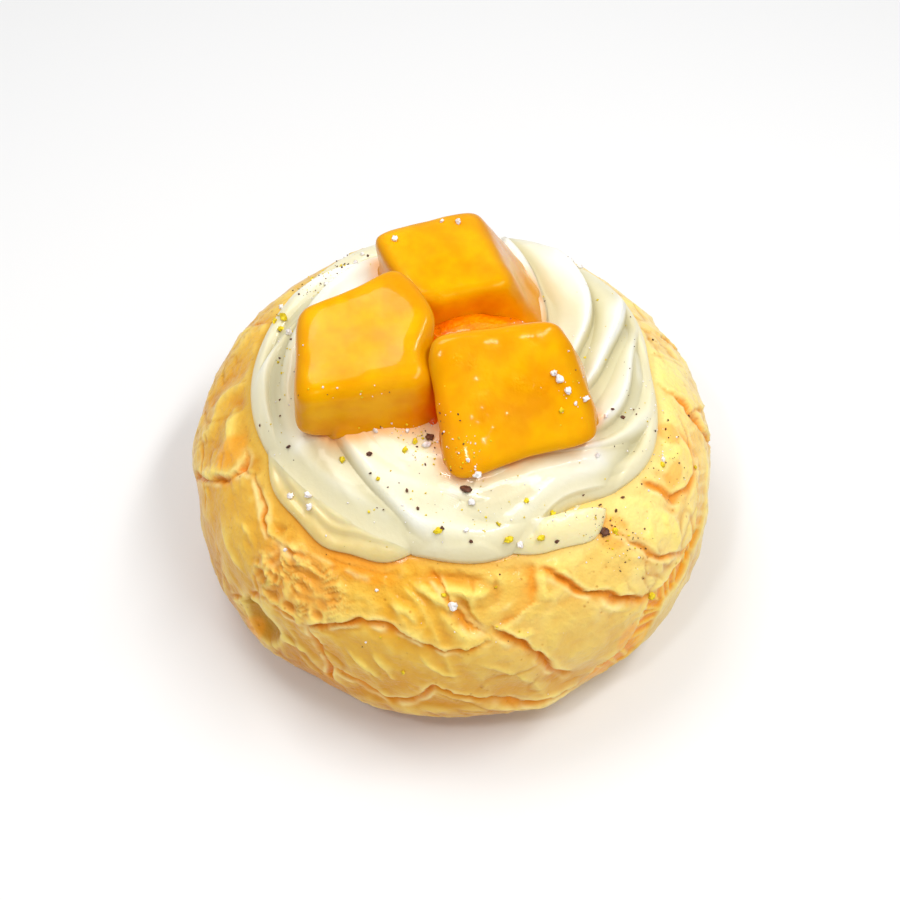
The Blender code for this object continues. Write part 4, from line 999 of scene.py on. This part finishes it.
# Fine dust: x, y, half sizes, how many of each kind (white, yellow, dark), and how much longer than the
# shortest a grain can be.
dustFields = (
    (-5.5, -20.0, 5.0, 3.2, 26, 30, 26, 0.42), (1.8, -24.3, 3.6, 3.0, 18, 44, 5, 0.34),
    (-24.0, 24.0, 6.5, 7.0, 26, 70, 60, 0.36), (36.5, -13.0, 6.5, 10.0, 34, 10, 46, 0.42),
    (27.5, -31.0, 6.5, 3.6, 30, 26, 60, 0.4), (4.0, -31.0, 20.0, 6.5, 40, 44, 20, 0.4),
    (-30.0, -4.0, 4.5, 22.0, 16, 22, 14, 0.38), (27.0, 4.0, 8.0, 20.0, 16, 16, 8, 0.4),
    (19.5, -15.5, 4.0, 3.5, 14, 6, 0, 0.3), (0.0, -46.0, 26.0, 2.0, 12, 8, 4, 0.4),
    (-14.0, -17.0, 8.0, 1.2, 16, 6, 4, 0.4), (12.5, 3.2, 5.0, 1.0, 4, 5, 1, 0.25),
)

crumbValues = {
    "larger": 1.15, "shortest": 0.16, "spread": 0.55, "furthest": 1.3, "lowest": 0.01, "raise": 0.22,
    "noiseScale": 2.1, "stretch": (0.75, 1.1), "breadth": 0.85,
}


def dropOn(surfaces, x, y):
    # the highest place straight below (x, y) and its normal, in millimetres, or nothing
    start, down = Vector((x * mm, y * mm, 0.12)), Vector((0.0, 0.0, -1.0))
    hits = [surface.ray_cast(start, down)[:2] for surface in surfaces]
    hits = [(place, normal) for place, normal in hits if place is not None]
    if not hits:
        return None
    place, normal = max(hits, key=lambda hit: hit[0].z)
    return np.array(place) / mm, np.array(normal)


def ballShape(level):
    # directions and triangles of a ball of 20 faces, split level - 1 times
    ball = bmesh.new()
    bmesh.ops.create_icosphere(ball, subdivisions=level, radius=1.0)
    directions = np.array([vertex.co[:] for vertex in ball.verts])
    faces = np.array([[vertex.index for vertex in face.verts] for face in ball.faces])
    ball.free()
    return directions, faces


def crumbMesh(placed, level, draw, uneven, flat):
    # each crumb is a ball of radius 1 + uneven noise, flattened, turned at random and set on its place
    values = crumbValues
    directions, faces = ballShape(level)
    lengths = np.array([length for place, normal, length in placed])
    normals = np.array([normal for place, normal, length in placed])
    places = np.array([place for place, normal, length in placed])
    centres = places + normals * (values["raise"] * lengths[:, None])
    count = len(placed)
    offsets = draw.uniform(-60.0, 60.0, (count, 1, 3))
    radial = 1.0 + uneven * softNoise(directions[None] * values["noiseScale"] + offsets, 1.0, 121)
    stretch = draw.uniform(*values["stretch"], (count, 1, 3)) * (1.0, values["breadth"], flat)
    turns = np.array([np.linalg.qr(draw.normal(size=(3, 3)))[0] for _ in range(count)])
    turns *= np.linalg.det(turns)[:, None, None]
    shapes = directions[None] * radial[..., None] * stretch
    shapes = np.einsum("nij,nvj->nvi", turns, shapes) * (0.5 * lengths)[:, None, None]
    vertices = (shapes + centres[:, None]).reshape(-1, 3)
    steps = np.arange(count)[:, None, None] * len(directions)
    return vertices, (faces[None] + steps).reshape(-1, 3)


def makeCrumbs(name, surfaces, column):
    # the large crumbs at their places and the dust by a seeded draw, joined in one mesh
    kind, values, furthest = crumbKinds[name], crumbValues, crumbValues["furthest"]
    draw = np.random.RandomState(kind["seed"])
    large, fine = [], []
    for x, y, length in kind["large"]:
        found = dropOn(surfaces, x, y)
        if found:
            large.append((*found, values["larger"] * length))
    for field in dustFields:
        x, y, halfX, halfY = field[:4]
        for _ in range(field[4 + column]):
            across, along = np.clip(draw.normal(size=2) * values["spread"], -furthest, furthest)
            length = values["shortest"] + draw.uniform(0.0, 1.0) ** 2.0 * field[7]
            found = dropOn(surfaces, x + halfX * across, y + halfY * along)
            if found and found[0][2] * mm > values["lowest"]:
                fine.append((*found, length))
    vertices, faces = crumbMesh(large, 3, draw, kind["uneven"], kind["flat"])
    fineVertices, fineFaces = crumbMesh(fine, 1, draw, kind["uneven"], kind["flat"])
    return makePiece(name, np.concatenate([vertices, fineVertices]), [],
                     np.concatenate([faces, fineFaces + len(vertices)]))


def paint(red, green, blue):
    # a colour as it looks on a screen, from 0 to 255, made linear
    return tuple((((part / 255.0 + 0.055) / 1.055) ** 2.4 if part > 10.3 else part / 255.0 / 12.92)
                 for part in (red, green, blue)) + (1.0,)


def addNode(tree, kind, inputs=None, **settings):
    # a node with its settings; an input is linked if it is a socket, and set if it is a value
    node = tree.nodes.new(kind)
    for name, value in settings.items():
        setattr(node, name, value)
    for name, value in (inputs or {}).items():
        if isinstance(value, bpy.types.NodeSocket):
            tree.links.new(value, node.inputs[name])
        else:
            node.inputs[name].default_value = value
    return node


def addMath(tree, operation, *values, clamp=False):
    # one step of arithmetic with sockets or numbers
    inputs = dict(enumerate(values))
    return addNode(tree, "ShaderNodeMath", inputs, operation=operation, use_clamp=clamp).outputs[0]


def startGroup(name, inputs, output):
    # a node group with named numbers, and the sockets that its maker joins
    group = bpy.data.node_groups.new(name, "ShaderNodeTree")
    for label, value in inputs.items():
        socket = group.interface.new_socket(label, in_out="INPUT", socket_type="NodeSocketFloat")
        socket.default_value = value
    group.interface.new_socket(output, in_out="OUTPUT", socket_type="NodeSocketFloat")
    given, out = group.nodes.new("NodeGroupInput"), group.nodes.new("NodeGroupOutput")
    return group, given.outputs, out.inputs[output], addNode(group, "ShaderNodeTexCoord").outputs["Object"]


def makeMottle():
    # a noise of Object coordinates as a mask around a half, spread by Contrast
    group, given, mask, place = startGroup("softMottle", {"Scale": 100.0, "Contrast": 2.0}, "Mask")
    noise = addNode(group, "ShaderNodeTexNoise", {"Vector": place, "Scale": given["Scale"], "Detail": 3.0,
                                                  "Roughness": 0.55})
    centred = addMath(group, "SUBTRACT", noise.outputs["Fac"], 0.5)
    group.links.new(addMath(group, "MULTIPLY_ADD", centred, given["Contrast"], 0.5, clamp=True), mask)
    return group


def makePits():
    # small round pits: the middle of Voronoi cells, kept where a noise is high
    group, given, pit, place = startGroup("bakedPits", {"Scale": 600.0, "Size": 0.25, "Share": 0.55}, "Pit")
    cells = addNode(group, "ShaderNodeTexVoronoi", {"Vector": place, "Scale": given["Scale"]})
    near = addMath(group, "SUBTRACT", given["Size"], cells.outputs["Distance"])
    depth = addMath(group, "MULTIPLY", near, 6.0, clamp=True)
    kept = addNode(group, "ShaderNodeTexNoise", {"Vector": place, "Scale": 190.0, "Detail": 1.0})
    chosen = addMath(group, "GREATER_THAN", kept.outputs["Fac"], given["Share"])
    group.links.new(addMath(group, "MULTIPLY", depth, chosen), pit)
    return group


def useGroup(tree, group, **values):
    # a node group with its own values, as its one output
    node = tree.nodes.new("ShaderNodeGroup")
    node.node_tree = group
    for name, value in values.items():
        node.inputs[name].default_value = value
    return node.outputs[0]


def mottled(tree, scale, contrast):
    return useGroup(tree, mottle, Scale=scale, Contrast=contrast)


def readMask(tree, name):
    # the numbers that setMask gave to a piece
    node = addNode(tree, "ShaderNodeAttribute", attribute_name=name, attribute_type="GEOMETRY")
    return node.outputs["Fac"]


def mixPaint(tree, mask, first, second, share=1.0):
    # first where the mask is 0 and second where it is 1, times a share
    if share != 1.0:
        mask = addMath(tree, "MULTIPLY", mask, share, clamp=True)
    node = addNode(tree, "ShaderNodeMix", data_type="RGBA")
    for index, value in ((6, first), (7, second)):
        if isinstance(value, bpy.types.NodeSocket):
            tree.links.new(value, node.inputs[index])
        else:
            node.inputs[index].default_value = value
    tree.links.new(mask, node.inputs[0])
    return node.outputs[2]


def startMaterial(name, finish):
    # a material with the fixed values of its shader
    material = bpy.data.materials.new(name)
    material.use_nodes = True
    tree = material.node_tree
    shader = tree.nodes["Principled BSDF"]
    for socket, value in finish["shader"].items():
        shader.inputs[socket].default_value = value
    return material, tree, shader


def layPaint(tree, finish):
    # two mottled paints, then patches of others, and then a paint for each mask, times its share
    scale, contrast, first, second = finish["ground"]
    colour = mixPaint(tree, mottled(tree, scale, contrast), first, second)
    for scale, contrast, over, share in finish.get("patches", ()):
        colour = mixPaint(tree, mottled(tree, scale, contrast), colour, over, share)
    for mask, over, share in finish.get("masks", ()):
        colour = mixPaint(tree, readMask(tree, mask), colour, over, share)
    return colour


def grainyPlaces(tree, finish):
    # the wet places, and rare spots where the masks of all their scales meet
    spots = [mottled(tree, scale, 8.0) for scale in finish["spots"]]
    where = spots[0]
    for spot in spots[1:]:
        where = addMath(tree, "MULTIPLY", where, spot)
    return addMath(tree, "MULTIPLY_ADD", where, finish["spotShare"], readMask(tree, "wet"))


def makeMaterial(name, finish):
    # a finish is painted and has an uneven surface as its bump; it may also have pits, a grain all over or
    # in grainy places, a coat that is thicker in spots, and a base that is smoother where it is wet
    material, tree, shader = startMaterial(name, finish)
    colour, height = layPaint(tree, finish), mottled(tree, *finish["uneven"])
    if "pits" in finish:
        pit = useGroup(tree, pits, **finish["pits"])
        colour = mixPaint(tree, pit, colour, finish["pitPaint"], finish["pitShare"])
        height = addMath(tree, "MULTIPLY_ADD", pit, -finish["pitDepth"], height)
    if "grain" in finish:
        grain = mottled(tree, *finish["grain"])
        if "spots" in finish:
            grain = addMath(tree, "MULTIPLY", grain, grainyPlaces(tree, finish))
        height = addMath(tree, "MULTIPLY_ADD", grain, finish["grainHeight"], height)
    if "coat" in finish:
        more, least = finish["coat"]
        coat = addMath(tree, "MULTIPLY_ADD", mottled(tree, *finish["coatSpots"]), more, least)
        tree.links.new(coat, shader.inputs["Coat Weight"])
    if "wetRoughness" in finish:
        change, dry = finish["wetRoughness"]
        rough = addMath(tree, "MULTIPLY_ADD", readMask(tree, "wet"), change, dry)
        tree.links.new(rough, shader.inputs["Roughness"])
    tree.links.new(colour, shader.inputs["Base Color"])
    strength, distance = finish["bump"]
    bump = addNode(tree, "ShaderNodeBump", {"Strength": strength, "Distance": distance, "Height": height})
    tree.links.new(bump.outputs[0], shader.inputs["Normal"])
    return material


# Shader: fixed values. Ground: scale and contrast of the mottle between two paints. Patches: scale,
# contrast, paint and share. Masks: name, paint and share. Bump: strength and distance in metres.

crustFinish = {
    "shader": {"Roughness": 0.34, "Coat Weight": 0.15, "Coat Roughness": 0.12, "Specular IOR Level": 0.22,
               "Specular Tint": (1.0, 0.8, 0.3, 1.0), "Subsurface Weight": 0.06, "Subsurface Scale": 0.001,
               "Subsurface Radius": (1.0, 0.6, 0.25)},
    "ground": (60.0, 3.2, paint(237, 178, 52), paint(248, 211, 100)),
    "patches": ((28.0, 4.0, paint(226, 185, 70), 0.5), (420.0, 3.0, paint(237, 178, 52), 0.2)),
    # Painted highlights among the masks below: the paler lit right side, the pale crack crests and the
    # raised places. Painted shade: the darker left side, the darker foot, the orange on each crack's low
    # side, the grooves, creases, sunken places, the hollow, and part of the glaze's orange under the layers'
    # edge.
    "masks": (("pale", paint(255, 236, 154), 0.85), ("left", paint(226, 174, 66), 0.5),
              ("foot", paint(196, 122, 0), 0.8), ("browned", paint(233, 163, 54), 0.45),
              ("lumpy", paint(251, 221, 134), 0.7), ("crumbled", paint(235, 164, 68), 0.85),
              ("creases", paint(196, 122, 0), 0.35), ("sunkenShade", paint(218, 138, 28), 0.65),
              ("raisedHighlight", paint(254, 229, 124), 0.75), ("hollow", paint(186, 142, 46), 0.85),
              ("bread", paint(255, 198, 52), 0.8), ("blocks", paint(244, 148, 0), 0.95),
              ("orangeAndShade", paint(250, 158, 30), 0.95), ("glaze", paint(232, 126, 8), 0.75),
              ("highlightedCrest", paint(255, 234, 160), 0.8), ("groove", paint(232, 126, 8), 0.6)),
    # painted shade: the pits are painted darker
    "pits": {"Scale": 560.0, "Size": 0.2, "Share": 0.56}, "pitPaint": paint(196, 122, 0), "pitShare": 0.6,
    "pitDepth": 0.8, "uneven": (900.0, 1.6), "grain": (300.0, 2.0), "grainHeight": 1.6,
    "bump": (0.45, 0.0004),
}

custardFinish = {
    "shader": {"Roughness": 0.33, "Coat Weight": 0.25, "Coat Roughness": 0.2, "Subsurface Weight": 0.4,
               "Subsurface Scale": 0.002, "Subsurface Radius": (1.0, 0.7, 0.3)},
    "ground": (220.0, 2.5, paint(218, 188, 106), paint(230, 204, 132)),
    "masks": (("right", paint(250, 237, 182), 0.85), ("creamy", paint(232, 222, 176), 0.8)),
    "uneven": (480.0, 1.0), "bump": (0.2, 0.0005),
}

creamFinish = {
    "shader": {"Roughness": 0.4, "Coat Weight": 0.35, "Coat Roughness": 0.07, "Specular IOR Level": 0.35,
               "Subsurface Weight": 0.12, "Subsurface Scale": 0.0015,
               "Subsurface Radius": (1.0, 0.85, 0.55)},
    "ground": (90.0, 2.0, paint(233, 226, 188), paint(240, 236, 208)),
    # Painted shade in the masks below: the fold valleys, the sunken places and the rim. Painted highlight on
    # the raised places; painted light where the glaze glows on the cream, and a painted reflection of the
    # mango's orange beside it.
    "masks": (("sunk", paint(200, 190, 146), 0.75), ("sunkenShade", paint(200, 190, 146), 0.7),
              ("raisedHighlight", paint(250, 250, 240), 0.9), ("mangoReflection", paint(250, 212, 170), 0.5),
              ("glow", paint(252, 172, 70), 0.75), ("atRim", paint(228, 214, 166), 0.55)),
    "uneven": (700.0, 1.2), "grain": (1300.0, 6.0), "grainHeight": 0.5,
    "spots": (95.0, 64.0), "spotShare": 0.3, "bump": (1.0, 0.00007),
}

# The wet glaze is the coat. The base's own reflection is tinted, so that the yellow stays deep.
mangoFinish = {
    "shader": {"Coat Roughness": 0.05, "Specular IOR Level": 0.18, "Specular Tint": (1.0, 0.72, 0.12, 1.0),
               "Subsurface Weight": 0.3, "Subsurface Scale": 0.004, "Subsurface Radius": (1.0, 0.5, 0.05)},
    "ground": (120.0, 4.0, paint(230, 150, 0), paint(242, 176, 0)),
    # painted shade on the side faces
    "masks": (("edge", paint(216, 152, 0), 0.6), ("side", paint(206, 134, 0), 0.7),
              # painted shade: red-orange in the crevices between the pieces
              ("nearCream", paint(238, 142, 0), 0.4), ("creviceShade", paint(246, 84, 0), 0.9)),
    "coatSpots": (75.0, 6.0), "coat": (0.22, 0.08), "wetRoughness": (-0.13, 0.2),
    "uneven": (330.0, 1.4), "grain": (1900.0, 2.0), "grainHeight": 0.8, "spots": (110.0, 74.0, 150.0),
    "spotShare": 0.15, "bump": (1.0, 0.00013),
}

poolFinish = {
    "shader": {"Roughness": 0.12, "Coat Weight": 0.7, "Coat Roughness": 0.03, "Specular IOR Level": 0.3,
               "Specular Tint": (1.0, 0.7, 0.1, 1.0), "Subsurface Weight": 0.2, "Subsurface Scale": 0.003},
    "ground": (200.0, 4.0, paint(244, 116, 0), paint(250, 152, 0)),
    # painted shade: red-orange deep in the crevices
    "masks": (("creviceShade", paint(236, 70, 0), 0.85),),
    "uneven": (520.0, 3.0), "grain": (1400.0, 4.0), "grainHeight": 0.4, "bump": (1.0, 0.0003),
}

crumbPaints = {
    "whiteSugar": (0.4, paint(236, 228, 226), paint(255, 250, 246)),       # roughness and two paints
    "yellowCrumbs": (0.5, paint(206, 178, 0), paint(250, 224, 30)),
    "darkFlakes": (0.5, paint(62, 30, 20), paint(120, 70, 44)),
}


def crumbMaterial(name):
    roughness, first, second = crumbPaints[name]
    return makeMaterial(name, {"shader": {"Roughness": roughness, "Specular IOR Level": 0.4},
                               "ground": (900.0, 4.0, first, second), "uneven": (2400.0, 2.0),
                               "bump": (0.6, 0.0002)})


mottle, pits = makeMottle(), makePits()
crust = makeCrust()
print("crust:", len(crust.data.polygons), "faces")
custard = makeCustard()
print("custard:", len(custard.data.polygons), "faces")
cream = makeCream()
print("cream:", len(cream.data.polygons), "faces")
cube, cubeQuads = cubeGrid(mangoValues["cells"])
mangoPieces, touching = zip(*[makeMango(name, cube, cubeQuads) for name in mangoRoundness])
mangoPieces = list(mangoPieces)
paintGlowAndReflection(cream, touching)
pools = makeGlazePools()
print("mango:", [len(piece.data.polygons) for piece in mangoPieces + [pools]])

shown = bpy.context.evaluated_depsgraph_get()
surfaces = [BVHTree.FromObject(piece, shown) for piece in [crust, custard, cream, pools] + mangoPieces]
crumbs = [makeCrumbs(name, surfaces, column) for column, name in enumerate(crumbKinds)]
print("crumbs:", [len(piece.data.polygons) for piece in crumbs])

glazed = makeMaterial("glazedMango", mangoFinish)
dressed = [
    (crust, "bun", "crust", makeMaterial("bakedCrust", crustFinish)),
    (custard, "custard", "custard", makeMaterial("custard", custardFinish)),
    (cream, "cream", "cream", makeMaterial("whippedCream", creamFinish)),
    (mangoPieces[0], "mango_back", "mango", glazed),
    (mangoPieces[1], "mango_left", "mango", glazed),
    (mangoPieces[2], "mango_right", "mango", glazed),
    (pools, None, "mango", makeMaterial("orangeGlaze", poolFinish)),
    (crumbs[0], None, "cream", crumbMaterial("whiteSugar")),
    (crumbs[1], None, "custard", crumbMaterial("yellowCrumbs")),
    (crumbs[2], None, "crust", crumbMaterial("darkFlakes")),
]
for piece, node, slot, material in dressed:
    piece.data.materials.append(material)
    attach(piece, "root")
    if node:
        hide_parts(node)
print("finishes:", len(dressed))

stageValues = {
    "cameraPlace": (0.0, -0.18054, 0.26459), "cameraAim": (0.0, 0.6018, -0.7986),
    "lens": 61.6, "sensor": 36.0, "shift": (-4.15 / 900.0, 4.3 / 900.0),
    "floorHalf": 1200.0, "floorFinish": {"Roughness": 0.9, "Base Color": (0.88, 0.88, 0.88, 1.0)},
    "world": 0.48, "lampAim": (0.0, 0.0, 0.04),
    # each lamp's place, width, depth and power
    "lamps": {"softbox": ((0.17, -0.06, 0.44), 0.32, 0.05, 1.0),
              "topSoftbox": ((-0.125, 0.10, 0.50), 0.19, 0.19, 0.75),
              "smallLamp": ((-0.12, -0.20, 0.45), 0.04, 0.04, 0.3),
              "frontLamp": ((0.18, -0.41, 0.45), 0.02, 0.02, 0.06)},
}


def makeStage():
    # a pale floor, a white surrounding, the lamps, which all point at the bun, and the camera
    values = stageValues
    scene = bpy.context.scene
    half = values["floorHalf"]
    floor = makePiece("floor", [(-half, -half, 0), (half, -half, 0), (half, half, 0), (-half, half, 0)],
                      [(0, 1, 2, 3)])
    floor.data.materials.append(startMaterial("paleFloor", {"shader": values["floorFinish"]})[0])
    world = bpy.data.worlds.new("studio")
    world.use_nodes = True
    background = world.node_tree.nodes["Background"]
    background.inputs["Color"].default_value = (1.0, 1.0, 1.0, 1.0)
    background.inputs["Strength"].default_value = values["world"]
    scene.world = world
    for name, (place, width, depth, power) in values["lamps"].items():
        light = bpy.data.lights.new(name, "AREA")
        light.shape = "RECTANGLE"
        light.size, light.size_y, light.energy = width, depth, power
        lamp = bpy.data.objects.new(name, light)
        lamp.location = place
        lamp.rotation_euler = (Vector(values["lampAim"]) - Vector(place)).to_track_quat("-Z", "Y").to_euler()
        scene.collection.objects.link(lamp)
    camera = bpy.data.objects.new("camera", bpy.data.cameras.new("camera"))
    camera.location = values["cameraPlace"]
    camera.rotation_euler = Vector(values["cameraAim"]).to_track_quat("-Z", "Y").to_euler()
    camera.data.lens, camera.data.sensor_width = values["lens"], values["sensor"]
    camera.data.shift_x, camera.data.shift_y = values["shift"]
    scene.collection.objects.link(camera)
    scene.camera = camera
    scene.view_settings.view_transform = "Standard"


makeStage()
print("stage, light and camera are set")
